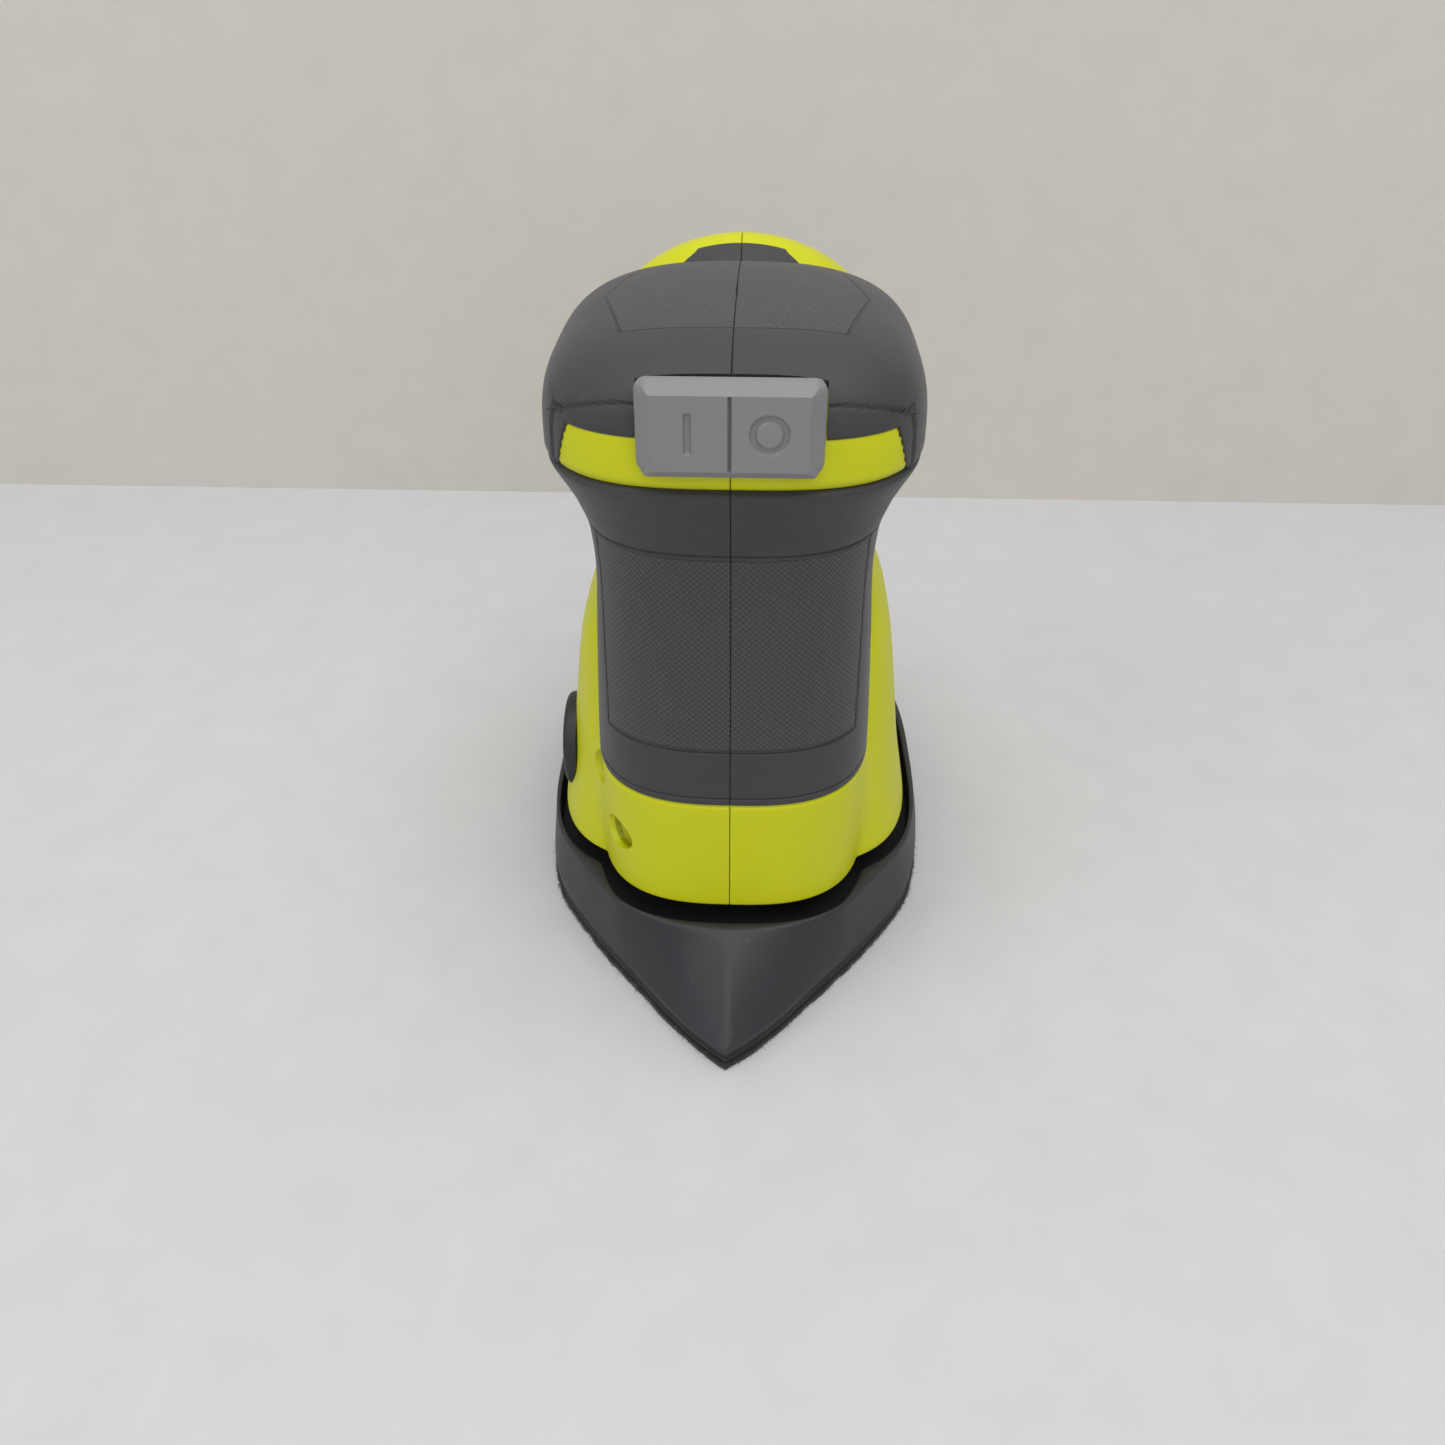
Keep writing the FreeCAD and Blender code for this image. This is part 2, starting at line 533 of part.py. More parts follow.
def upper_bush():
    """The sintered bush in the motor's cap."""
    return tube(4.0, SHAFT_RADIUS + RUNNING_GAP, 0, 0, MOTOR_TOP + 1, MOTOR_TOP + 7)


def brushes():
    """Two carbon brushes beside the commutator."""
    brush = box(5.3, 11.0, -2, 2, MOTOR_TOP - 7, MOTOR_TOP - 2)
    return both_sides(brush)


def motor_shaft():
    """The shaft, from the drive hub to the top bush."""
    return upright(SHAFT_RADIUS, 0, 0, 22.0, MOTOR_TOP + 6)


def armature():
    """The slotted steel stack on the shaft."""
    stack = tube(12.6, SHAFT_RADIUS, 0, 0, MOTOR_BOTTOM + 10, MOTOR_TOP - 16)
    for k in range(5):
        slot = box(6.0, 14.0, -1.2, 1.2, 0, 200)
        slot.rotate(V(0, 0, 0), V(0, 0, 1), 72.0 * k)
        stack = stack.cut(slot)
    return stack


def windings():
    """The copper coils at each end of the stack."""
    return Part.makeCompound([tube(11.0, SHAFT_RADIUS, 0, 0, MOTOR_BOTTOM + 6, MOTOR_BOTTOM + 10),
                              tube(11.0, SHAFT_RADIUS, 0, 0, MOTOR_TOP - 16, MOTOR_TOP - 12)])


def commutator():
    """The copper commutator that the brushes rub on."""
    ring = tube(5.0, SHAFT_RADIUS, 0, 0, MOTOR_TOP - 9, MOTOR_TOP - 1)
    for k in range(5):
        slit = box(4.2, 6.0, -0.25, 0.25, 0, 200)
        slit.rotate(V(0, 0, 0), V(0, 0, 1), 72.0 * k)
        ring = ring.cut(slit)
    return ring


def fan():
    """The dust and cooling fan: a disc with curved-back vanes under it."""
    hub = tube(6.5, SHAFT_RADIUS, 0, 0, FAN_BOTTOM, FAN_TOP)
    disc = tube(FAN_RADIUS, SHAFT_RADIUS, 0, 0, FAN_TOP - 2, FAN_TOP)
    blades = []
    for k in range(9):
        blade = box(6.0, FAN_RADIUS - 0.4, -0.7, 0.7, FAN_BOTTOM, FAN_TOP - 1)
        blade.rotate(V(6.0, 0, 0), V(0, 0, 1), 24.0)
        blade = blade.common(upright(FAN_RADIUS, 0, 0, 0, 60))
        blade.rotate(V(0, 0, 0), V(0, 0, 1), 40.0 * k)
        blades.append(blade)
    return fuse([hub, disc] + blades)


def drive_hub():
    """The hub on the shaft's end, whose pin stands off the shaft's axis and drives the pad."""
    hub = upright(8.0, 0, 0, 22.0, 30.6)
    pin = upright(4.0, ECCENTRICITY, 0, 12.4, 22.0)
    hub = hub.cut(upright(SHAFT_RADIUS, 0, 0, 22.0, 31))
    return fuse([hub, pin]).cut(upright(1.3, ECCENTRICITY, 0, 12.0, 20.0))


def counterweight():
    """The half-disc opposite the pin that balances the pad."""
    disc = tube(17.0, 8.0, 0, 0, 23.0, 29.0)
    return disc.common(box(-20, -1.0, -20, 20, 20, 32))


def hub_screw():
    """The screw and washer that hold the bearing on the pin."""
    head = upright(5.0, ECCENTRICITY, 0, 11.2, 12.4)
    cap = upright(2.6, ECCENTRICITY, 0, 9.6, 11.2)
    return fuse([head, cap, upright(1.2, ECCENTRICITY, 0, 12.4, 19.0)])


def inner_race():
    """Inner race of the pad's bearing, on the pin."""
    return tube(6.0, 4.0, ECCENTRICITY, 0, 12.4, 19.4)


# ---------------------------------------------------------------- pad
def outer_race():
    """Outer race of the pad's bearing, in the platen."""
    return tube(11.0, 8.8, ECCENTRICITY, 0, 12.4, 19.4)


def bearing_balls():
    """Seven balls between the races."""
    balls = []
    for k in range(7):
        a = 2 * math.pi * k / 7
        centre = V(ECCENTRICITY + 7.4 * math.cos(a), 7.4 * math.sin(a), 15.9)
        balls.append(Part.makeSphere(1.35, centre))
    return Part.makeCompound(balls)


def moat_halves():
    """Right halves of the space around the shells' lower edge that the platen leaves free."""
    half, front, centre, power = COLUMN[0][1], COLUMN[0][2], COLUMN[0][4], COLUMN[0][5]
    narrow = half_outline(MOAT_FLOOR, half + 2.2, front - 3.0, 33.0, centre, power, power)
    half, front, rear = SHOULDER[0][1:]
    wide = half_outline(MOAT_FLOOR, half + 1.2, front - 1.4, rear + 1.0, SHOULDER_CENTRE_Y,
                        SHOULDER_POWER, SHOULDER_POWER)
    return [Part.Face(wire).extrude(V(0, 0, 40)) for wire in (narrow, wide)]


def platen():
    """The moulded platen: a plate with a sloping skirt, a bearing boss and four post sockets."""
    half = slope_half()
    for moat in moat_halves():
        half = half.cut(moat)
    plate = fuse([pad_slab(CUSHION_TOP, PLATEN_EDGE_TOP), half, mirror_x(half)])
    plate = plate.common(box(-60, 60, -80, 90, 0, RIM_TOP - 0.6))
    boss = upright(13.6, ECCENTRICITY, 0, CUSHION_TOP, 20.6)
    posts = [upright(6.0, s * x, y, CUSHION_TOP, 18.0) for x, y in POST_PLACES for s in (1, -1)]
    body = fuse([plate, boss] + posts)
    body = body.cut(upright(11.0, ECCENTRICITY, 0, 12.4, 30))
    body = body.cut(upright(9.0, ECCENTRICITY, 0, 9.0, 13))
    for x, y in POST_PLACES:
        for s in (1, -1):
            body = body.cut(upright(POST_RADIUS, s * x, y, POST_BOTTOM, 30))
            body = body.cut(upright(1.6, s * x, y, 0, 30)).cut(upright(3.4, s * x, y, 0, 9.6))
    for x, y in dust_holes():
        body = body.cut(upright(3.6, x, y, 0, 16))
    return body


def dust_holes():
    """(X, Y) of the dust holes through the pad."""
    right = [(13.0, -42.0), (27.0, -17.0), (33.0, 8.0), (33.0, 50.0)]
    return [(0.0, 50.0)] + [(s * x, y) for x, y in right for s in (1, -1)]


def pad_layer(z0, z1, inset):
    """A layer of the pad with the dust holes, and a hole over each post screw."""
    layer = pad_slab(z0, z1, inset)
    for x, y in dust_holes():
        layer = layer.cut(upright(4.0, x, y, z0 - 1, z1 + 1))
    return layer


def cushion():
    """The rubber cushion between the platen and the hook fabric."""
    layer = pad_layer(HOOK_THICK, CUSHION_TOP, 0.8)
    for x, y in POST_PLACES:
        for s in (1, -1):
            layer = layer.cut(upright(3.6, s * x, y, CUSHION_TOP - 2, CUSHION_TOP + 1))
    return layer


def posts():
    """Four flexible posts that let the platen orbit and keep it from turning."""
    post = [upright(POST_RADIUS, x, y, POST_BOTTOM, POST_TOP) for x, y in POST_PLACES]
    post = [p.cut(upright(1.2, x, y, POST_BOTTOM - 1, POST_BOTTOM + 10))
            for p, (x, y) in zip(post, POST_PLACES)]
    return Part.makeCompound(post + [mirror_x(p) for p in post])


def post_screws():
    """Four screws that hold the posts to the platen from below."""
    screws = [fuse([upright(2.9, x, y, 7.0, 9.4), upright(1.15, x, y, 9.4, POST_BOTTOM + 8)])
              for x, y in POST_PLACES]
    return Part.makeCompound(screws + [mirror_x(s) for s in screws])


def shell_screws():
    """The screws that hold the shells together, driven from the left."""
    screws = []
    for y, z, floor in SCREWS:
        head = rod(SCREW_HEAD_RADIUS, (floor, y, z), (-1, 0, 0), 2.4)
        head = head.cut(rod(1.4, (floor - 3, y, z), (1, 0, 0), 1.8))
        screws.append(fuse([head, rod(SCREW_SHANK_RADIUS, (floor, y, z), (1, 0, 0), SCREW_LENGTH)]))
    return Part.makeCompound(screws)


# ---------------------------------------------------------------- leads inside
def lead(points, radius):
    """A wire: straight runs joined by tangent arcs as large as the runs allow."""
    edges, here = [], V(*points[0])
    for before, corner, after in zip(points, points[1:], points[2:]):
        before, corner, after = V(*before), V(*corner), V(*after)
        back, ahead = (before - corner), (after - corner)
        cut = 0.45 * min(back.Length, ahead.Length)
        start, end = corner + back.normalize() * cut, corner + ahead.normalize() * cut
        half = back.getAngle(ahead) / 2
        bend = cut * math.tan(half)
        middle = (back + ahead).normalize()
        centre = corner + middle * (cut / math.cos(half))
        edges.append(Part.makeLine(here, start))
        edges.append(Part.Arc(start, centre - middle * bend, end).toShape())
        here = end
    edges.append(Part.makeLine(here, V(*points[-1])))
    path = Part.Wire(edges)
    first = V(*points[1]) - V(*points[0])
    ring = Part.Wire(Part.Circle(V(*points[0]), first, radius).toShape())
    return path.makePipeShell([ring], True, True)


def supply_lead(side):
    """A lead from the battery socket's front wall to the back of the switch."""
    x = 6.0 * side
    y = SOCKET_FRONT_Y - SOCKET_WALL
    return lead([(x, y, 118.0), (x, 14.0, 119.0), (x, 0.0, 124.0), (0.8 * x, -12.0, 136.0),
                 (0.8 * x, -22.0, 138.0)], 0.9)


def motor_lead(side):
    """A lead from the motor's cap to the underside of the switch."""
    x = 9.0 * side
    return lead([(x, -8.0, MOTOR_TOP + 3), (x, -8.0, 112.0), (0.8 * x, -27.0, 120.0),
                 (0.8 * x, -27.0, CASE_LOW)], 0.8)


PARTS = {
    "platen": platen, "cushion": cushion,
    "hook_face": lambda: pad_layer(0.0, HOOK_THICK, 0.3),
    "flexible_posts": posts, "post_screws": post_screws,
    "pad_bearing_outer": outer_race, "pad_bearing_balls": bearing_balls,
    "pad_bearing_inner": inner_race, "drive_hub": drive_hub, "counterweight": counterweight,
    "hub_screw": hub_screw, "fan": fan, "motor_shaft": motor_shaft, "armature": armature,
    "windings": windings, "commutator": commutator, "motor_can": motor_can, "magnets": magnets,
    "lower_bearing": lower_bearing, "motor_end_cap": end_cap, "upper_bush": upper_bush,
    "brushes": brushes, "chassis": chassis, "dust_port": dust_port,
    "battery_socket": battery_socket, "terminal_block": terminal_block,
    "contact_blades": contact_blades, "switch_cap": switch_cap, "rocker_lever": rocker_lever,
    "switch_body": switch_body, "shell_screws": shell_screws,
    "supply_lead_right": lambda: supply_lead(1), "supply_lead_left": lambda: supply_lead(-1),
    "motor_lead_right": lambda: motor_lead(1), "motor_lead_left": lambda: motor_lead(-1),
}


def halves():
    """The shells and the rubber over them: one half of each is drawn, and the other is its mirror image."""
    core, grip, rest = outer_core(), grip_half(), palm_half()
    return {"shell_right": shell_half(core, 1), "shell_left": shell_half(core, -1),
            "grip_right": grip, "grip_left": mirror_x(grip),
            "palm_rest_right": rest, "palm_rest_left": mirror_x(rest)}


def main():
    """Builds every part and writes one STEP file for each."""
    os.makedirs("parts", exist_ok=True)
    shapes = {name: make() for name, make in PARTS.items()}
    shapes.update(halves())
    for name, shape in shapes.items():
        solids = shape.Solids
        shape = solids[0] if len(solids) == 1 else Part.makeCompound(solids)
        shape.exportStep("parts/%s.step" % name)
        print(name, "solids", len(shape.Solids), "volume", round(shape.Volume), shape.isValid())


main()
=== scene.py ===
"""Looks of a cordless corner sander: green shells, dark rubber grips, grey rocker, platen, pad and stage.

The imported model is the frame. Every new surface is worked out in millimetres on a grid of two
parameters and scaled to metres when it becomes a mesh. The pad's point is towards -Y, +Z is up and the
two halves of the housing part on the plane X = 0.
"""

from __future__ import annotations

import logging
import math
from dataclasses import dataclass, field
from enum import Enum

import bmesh
import bpy
import numpy as np
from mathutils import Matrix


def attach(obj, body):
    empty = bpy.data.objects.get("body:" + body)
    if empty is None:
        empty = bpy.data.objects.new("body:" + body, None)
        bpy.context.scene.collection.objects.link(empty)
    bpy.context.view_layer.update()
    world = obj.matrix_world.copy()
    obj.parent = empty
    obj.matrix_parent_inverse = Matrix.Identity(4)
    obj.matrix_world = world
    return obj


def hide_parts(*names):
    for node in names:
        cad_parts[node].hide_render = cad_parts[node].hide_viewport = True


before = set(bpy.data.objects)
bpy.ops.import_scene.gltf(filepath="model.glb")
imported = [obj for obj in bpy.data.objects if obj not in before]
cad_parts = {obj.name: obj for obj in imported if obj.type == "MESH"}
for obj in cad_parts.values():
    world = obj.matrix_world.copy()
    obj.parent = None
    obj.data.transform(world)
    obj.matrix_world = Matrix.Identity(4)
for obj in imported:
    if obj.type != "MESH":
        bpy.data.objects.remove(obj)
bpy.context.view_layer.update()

Array = np.ndarray
Socket = bpy.types.NodeSocket
Value = float | Socket
Colour = tuple[float, float, float, float]
MM = 0.001
UV_SPAN = 100.0          # millimetres across one unit of a piece's UV map
SEAM_GAP = 0.07          # half of the gap between the two shells
LOG = logging.getLogger("sander")
MADE: dict[str, bpy.types.Material] = {}     # materials made so far, by their finish's name


# ---------------------------------------------------------------- numbers on grids
def glide(table: tuple, at: Array) -> Array:
    """Reads a table at given values of its first column.

    Cubic Hermite steps whose tangents are the harmonic mean of the slopes on each side, so that
    nothing overshoots.

    Args:
        table: rows of (key, value, value, ...), keys rising.
        at: where to read it, any shape.
    Returns:
        An array of shape at.shape + (values,).
    """
    rows = np.asarray(table, float)
    keys, values = rows[:, 0], rows[:, 1:]
    rate = np.diff(values, axis=0) / np.diff(keys)[:, None]
    before, after = np.vstack([rate[:1], rate]), np.vstack([rate, rate[-1:]])
    total = np.where(before + after == 0, 1.0, before + after)
    slope = np.where(before * after > 0, 2 * before * after / total, 0.0)
    k = np.clip(np.searchsorted(keys, at, side="right") - 1, 0, len(keys) - 2)
    gap = (keys[k + 1] - keys[k])[..., None]
    t = (np.asarray(at)[..., None] - keys[k][..., None]) / gap
    return (values[k] * (1 + 2 * t) * (1 - t) ** 2 + slope[k] * gap * t * (1 - t) ** 2
            + values[k + 1] * t * t * (3 - 2 * t) - slope[k + 1] * gap * t * t * (1 - t))


def ease(x: Array) -> Array:
    """Smooth step from 0 to 1 as x goes from 0 to 1."""
    t = np.clip(x, 0.0, 1.0)
    return t * t * (3 - 2 * t)


def rolled(distance: Array, radius: float) -> Array:
    """How far a rounded edge has dropped at a distance from the edge: a quarter circle."""
    inside = np.clip(radius - distance, 0.0, radius)
    return radius - np.sqrt(np.maximum(radius ** 2 - inside ** 2, 0.0))


def groove(distance: Array, half_width: float, depth: float) -> Array:
    """Depth of a round-bottomed groove at a signed distance from its middle line."""
    return depth * ease(1.0 - np.abs(distance) / half_width)


def soft_max(a: Array, b: Array, blend: Array | float) -> Array:
    """The larger of two fields, with a fillet of the given size where they cross."""
    return np.maximum(a, b) + np.maximum(blend - np.abs(a - b), 0.0) ** 2 / (4 * blend)


def stations(start: float, end: float, step: float, near: tuple[float, ...] = (), fine: float = 0.15,
             reach: float = 0.9) -> Array:
    """Values from start to end, closer together near given places.

    Args:
        start: first value.
        end: last value.
        step: usual spacing.
        near: places that need finer spacing.
        fine: spacing there.
        reach: distance on each side of a place that is fine.
    Returns:
        Rising values, ends included.
    """
    out = [np.arange(start, end, step), [end]]
    for place in near:
        low, high = max(start, place - reach), min(end, place + reach)
        out.append(np.arange(low, high + fine / 2, fine))
    values = np.unique(np.clip(np.concatenate(out), start, end))
    keep = np.concatenate([[True], np.diff(values) > fine * 0.45])
    values = values[keep]
    values[-1] = end
    return values


def read_rows(want: Array, keys: Array, values: Array) -> Array:
    """Linear interpolation along each row at once: rows are laid end to end on one long axis.

    Args:
        want: (rows, m) places to read.
        keys: (rows, n) rising keys.
        values: (rows, n) values.
    Returns:
        (rows, m) values.
    """
    span = 4.0 * (np.abs(keys).max() + np.abs(want).max() + 1.0)
    shift = np.arange(len(keys))[:, None] * span
    clipped = np.clip(want, keys[:, :1], keys[:, -1:])
    return np.interp((clipped + shift).ravel(), (keys + shift).ravel(), values.ravel()).reshape(want.shape)


def outline(half: Array, front: Array, rear: Array, centre: Array, front_power: Array,
            rear_power: Array, count: int = 160) -> tuple[Array, Array]:
    """Right halves of rounded outlines, one row each, from the front to the rear.

    Each is two superellipse quarters: x = half * sin(a)^(2/p), y = centre + reach * cos(a)^(2/p).

    Args:
        half, front, rear, centre, front_power, rear_power: one value for each row.
        count: points on each quarter.
    Returns:
        x and y, each (rows, 2 * count - 1).
    """
    a = np.linspace(0, math.pi / 2, count)[None, :]

    def turn(values: Array) -> Array:
        """The values as a column."""
        return np.asarray(values, float)[:, None]

    sine, cosine = np.sin(a), np.abs(np.cos(a))
    x1, y1 = turn(half) * sine ** (2 / turn(front_power)), cosine ** (2 / turn(front_power))
    x2, y2 = turn(half) * sine ** (2 / turn(rear_power)), cosine ** (2 / turn(rear_power))
    y1 = turn(centre) + (turn(front) - turn(centre)) * y1
    y2 = turn(centre) + (turn(rear) - turn(centre)) * y2
    return np.hstack([x1, x2[:, -2::-1]]), np.hstack([y1, y2[:, -2::-1]])


def spline(points: tuple, start: tuple[float, float], end: tuple[float, float], count: int) -> Array:
    """A smooth curve through points with set end directions: C2 cubic pieces over chord length.

    Args:
        points: (x, y) pairs that the curve goes through.
        start: direction at the first point.
        end: direction at the last point.
        count: points to return.
    Returns:
        (count, 2) points.
    """
    p = np.asarray(points, float)
    h = np.linalg.norm(np.diff(p, axis=0), axis=1)
    n = len(p)
    matrix, right = np.eye(n), np.zeros((n, 2))
    right[0], right[-1] = np.asarray(start) / np.hypot(*start), np.asarray(end) / np.hypot(*end)
    inner = np.arange(1, n - 1)
    matrix[inner, inner - 1], matrix[inner, inner + 1] = h[1:], h[:-1]
    matrix[inner, inner] = 2 * (h[1:] + h[:-1])
    slope = np.diff(p, axis=0) / h[:, None]
    right[1:-1] = 3 * (h[1:, None] * slope[:-1] + h[:-1, None] * slope[1:])
    m = np.linalg.solve(matrix, right)
    along = np.concatenate([[0], np.cumsum(h)])
    at = np.linspace(0, along[-1], count)
    k = np.clip(np.searchsorted(along, at, side="right") - 1, 0, n - 2)
    t = ((at - along[k]) / h[k])[:, None]
    g = h[k][:, None]
    return (p[k] * (1 + 2 * t) * (1 - t) ** 2 + m[k] * g * t * (1 - t) ** 2
            + p[k + 1] * t * t * (3 - 2 * t) - m[k + 1] * g * t * t * (1 - t))


# ---------------------------------------------------------------- meshes
def grid_faces(rows: int, cols: int, start: int = 0, wrap: bool = False) -> Array:
    """Corner numbers of a grid's quads. wrap joins the last column to the first.

    Args:
        rows, cols: size of the grid.
        start: number of the grid's first point.
        wrap: whether the last column joins the first.
    Returns:
        (quads, 4) point numbers.
    """
    ids = start + np.arange(rows * cols).reshape(rows, cols)
    if wrap:
        ids = np.hstack([ids, ids[:, :1]])
    return np.stack([ids[:-1, :-1], ids[:-1, 1:], ids[1:, 1:], ids[1:, :-1]], -1).reshape(-1, 4)


def slab_faces(rows: int, cols: int) -> Array:
    """Faces of a closed slab: an outer grid, an inner grid, and a strip round their border.

    Args:
        rows, cols: size of each grid.
    Returns:
        (quads, 4) point numbers.
    """
    ids = np.arange(rows * cols).reshape(rows, cols)
    rim = np.concatenate([ids[0, :-1], ids[:-1, -1], ids[-1, :0:-1], ids[:0:-1, 0]])
    nxt = np.roll(rim, -1)
    strip = np.stack([rim, rim + rows * cols, nxt + rows * cols, nxt], -1)
    return np.vstack([grid_faces(rows, cols), grid_faces(rows, cols, rows * cols)[:, ::-1], strip])


def outward(points: Array, faces: Array) -> Array:
    """The faces, turned round if the closed surface's signed volume is negative.

    Args:
        points: (n, 3) points.
        faces: (m, 4) quads of one closed surface.
    Returns:
        The quads with their fronts outwards.
    """
    p = points[faces]
    first = np.einsum("ij,ij->i", p[:, 0], np.cross(p[:, 1], p[:, 2])).sum()
    second = np.einsum("ij,ij->i", p[:, 0], np.cross(p[:, 2], p[:, 3])).sum()
    return faces[:, ::-1] if first + second < 0 else faces


def flip_x(points: Array) -> Array:
    """The points on the other side of X = 0."""
    return points * np.array([-1.0, 1.0, 1.0])


def surface_normals(grid: Array) -> Array:
    """Unit normals of a grid of points: the cross product of its two directions.

    Args:
        grid: (rows, cols, 3) points.
    Returns:
        (rows, cols, 3) normals.
    """
    across, down = np.gradient(grid, axis=1), np.gradient(grid, axis=0)
    normal = np.cross(across, down)
    return normal / np.maximum(np.linalg.norm(normal, axis=2, keepdims=True), 1e-9)


@dataclass
class Piece:
    """One finished mesh and how it belongs to the model.

    Attributes:
        name: the object's name.
        points: vertices in millimetres.
        faces: quads.
        finish: the material.
        body: the CAD body it rides on.
        slot: a material slot's name; not used.
        replaces: CAD nodes it stands for.
        uv: a (u, v) in millimetres for each vertex, or None.
        marks: extra per-vertex numbers, by attribute name.
        sharp: edges sharper than this many degrees stay crisp.
    """

    name: str
    points: Array
    faces: Array
    finish: "Finish"
    body: str
    slot: str
    replaces: tuple[str, ...] = ()
    uv: Array | None = None
    marks: dict[str, Array] = field(default_factory=dict)
    sharp: float = 38.0

    def mesh(self) -> bpy.types.Mesh:
        """Fills a mesh from the arrays, in metres.

        Returns:
            The mesh, with its UV map and marks.
        """
        faces = outward(self.points, self.faces)
        mesh = bpy.data.meshes.new(self.name)
        mesh.vertices.add(len(self.points))
        mesh.vertices.foreach_set("co", (self.points * MM).ravel())
        mesh.loops.add(faces.size)
        mesh.loops.foreach_set("vertex_index", faces.ravel())
        mesh.polygons.add(len(faces))
        mesh.polygons.foreach_set("loop_start", np.arange(len(faces)) * 4)
        if self.uv is not None:
            layer = mesh.uv_layers.new(name="UVMap")
            layer.data.foreach_set("uv", (self.uv[faces.ravel()] / UV_SPAN).ravel())
        for name, values in self.marks.items():
            mesh.attributes.new(name, "FLOAT", "POINT").data.foreach_set("value", values.ravel())
        mesh.update(calc_edges=True)
        mesh.validate()
        return mesh

    def build(self, cutters: tuple[tuple[bpy.types.Object, str], ...] = ()) -> bpy.types.Object:
        """Makes the object, welds it, cuts it, and ties it to its body.

        Args:
            cutters: (object, boolean operation) pairs, applied in order.
        Returns:
            The finished object.
        """
        mesh = self.mesh()
        work = bmesh.new()
        work.from_mesh(mesh)
        bmesh.ops.remove_doubles(work, verts=work.verts, dist=1e-7)
        bmesh.ops.dissolve_degenerate(work, edges=work.edges, dist=1e-8)
        work.to_mesh(mesh)
        work.free()
        piece = bpy.data.objects.new(self.name, mesh)
        bpy.context.scene.collection.objects.link(piece)
        piece.data.materials.append(self.finish.material())
        for cutter, operation in cutters:
            carve(piece, cutter, operation)
        piece.data.shade_smooth()
        piece.data.set_sharp_from_angle(angle=math.radians(self.sharp))
        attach(piece, self.body)
        if self.replaces:
            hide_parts(*self.replaces)
        LOG.info("%s: %d faces on %s", self.name, len(piece.data.polygons), self.body)
        return piece


def carve(piece: bpy.types.Object, cutter: bpy.types.Object, operation: str) -> None:
    """Applies one boolean to a piece's mesh.

    Args:
        piece: the object that is cut.
        cutter: the object that cuts it.
        operation: the boolean's name.
    """
    step = piece.modifiers.new("carve", "BOOLEAN")
    step.object, step.operation, step.solver = cutter, operation, "EXACT"
    bpy.context.view_layer.update()
    graph = bpy.context.evaluated_depsgraph_get()
    fresh = bpy.data.meshes.new_from_object(piece.evaluated_get(graph))
    piece.modifiers.remove(step)
    old, piece.data = piece.data, fresh
    fresh.name = old.name + "_cut"
    bpy.data.meshes.remove(old)


def cutter_from(points: Array, faces: Array) -> bpy.types.Object:
    """A plain object to cut with, removed later.

    Args:
        points: (n, 3) points in millimetres.
        faces: (m, 4) quads.
    Returns:
        The object, linked to the scene.
    """
    mesh = bpy.data.meshes.new("cutter")
    mesh.from_pydata((points * MM).tolist(), [], outward(points, faces).tolist())
    work = bmesh.new()
    work.from_mesh(mesh)
    bmesh.ops.remove_doubles(work, verts=work.verts, dist=1e-7)
    work.to_mesh(mesh)
    work.free()
    tool = bpy.data.objects.new("cutter", mesh)
    bpy.context.scene.collection.objects.link(tool)
    return tool


def turned(profile: tuple[tuple[float, float], ...], axis: int, centre: tuple[float, float, float],
           count: int = 48) -> tuple[Array, Array]:
    """A closed ring turned from a profile about an axis through a centre.

    A point at angle a is centre + along * axis + radius * (cos a, sin a) in the other two directions.
    The profile's last point joins its first.

    Args:
        profile: (along, radius) pairs.
        axis: 0, 1 or 2.
        centre: a point on the axis.
        count: points round the axis.
    Returns:
        points and faces.
    """
    p = np.asarray(profile + profile[:1], float)
    a = np.linspace(0, 2 * math.pi, count, endpoint=False)
    grid = np.empty((len(p), count, 3))
    first, second = [(1, 2), (2, 0), (0, 1)][axis]
    grid[..., axis] = centre[axis] + p[:, :1]
    grid[..., first] = centre[first] + p[:, 1:] * np.cos(a)
    grid[..., second] = centre[second] + p[:, 1:] * np.sin(a)
    return grid.reshape(-1, 3), grid_faces(len(p), count, wrap=True)


def merged(parts: list[tuple[Array, Array]]) -> tuple[Array, Array]:
    """Several closed shapes as one set of points and faces.

    Args:
        parts: (points, faces) of each shape.
    Returns:
        The joined points and faces.
    """
    points, faces, start = [], [], 0
    for p, f in parts:
        points.append(p)
        faces.append(outward(p, f) + start)
        start += len(p)
    return np.vstack(points), np.vstack(faces)


def block(low: tuple[float, float, float], high: tuple[float, float, float]) -> tuple[Array, Array]:
    """A box between two corners, as a two by two slab.

    Args:
        low: the corner with the lowest coordinates.
        high: the opposite corner.
    Returns:
        points and faces.
    """
    (x0, y0, z0), (x1, y1, z1) = low, high

    def sheet(z: float) -> list[tuple[float, float, float]]:
        """The box's four corners at one height."""
        return [(x0, y0, z), (x1, y0, z), (x0, y1, z), (x1, y1, z)]

    return np.array(sheet(z1) + sheet(z0), float), slab_faces(2, 2)


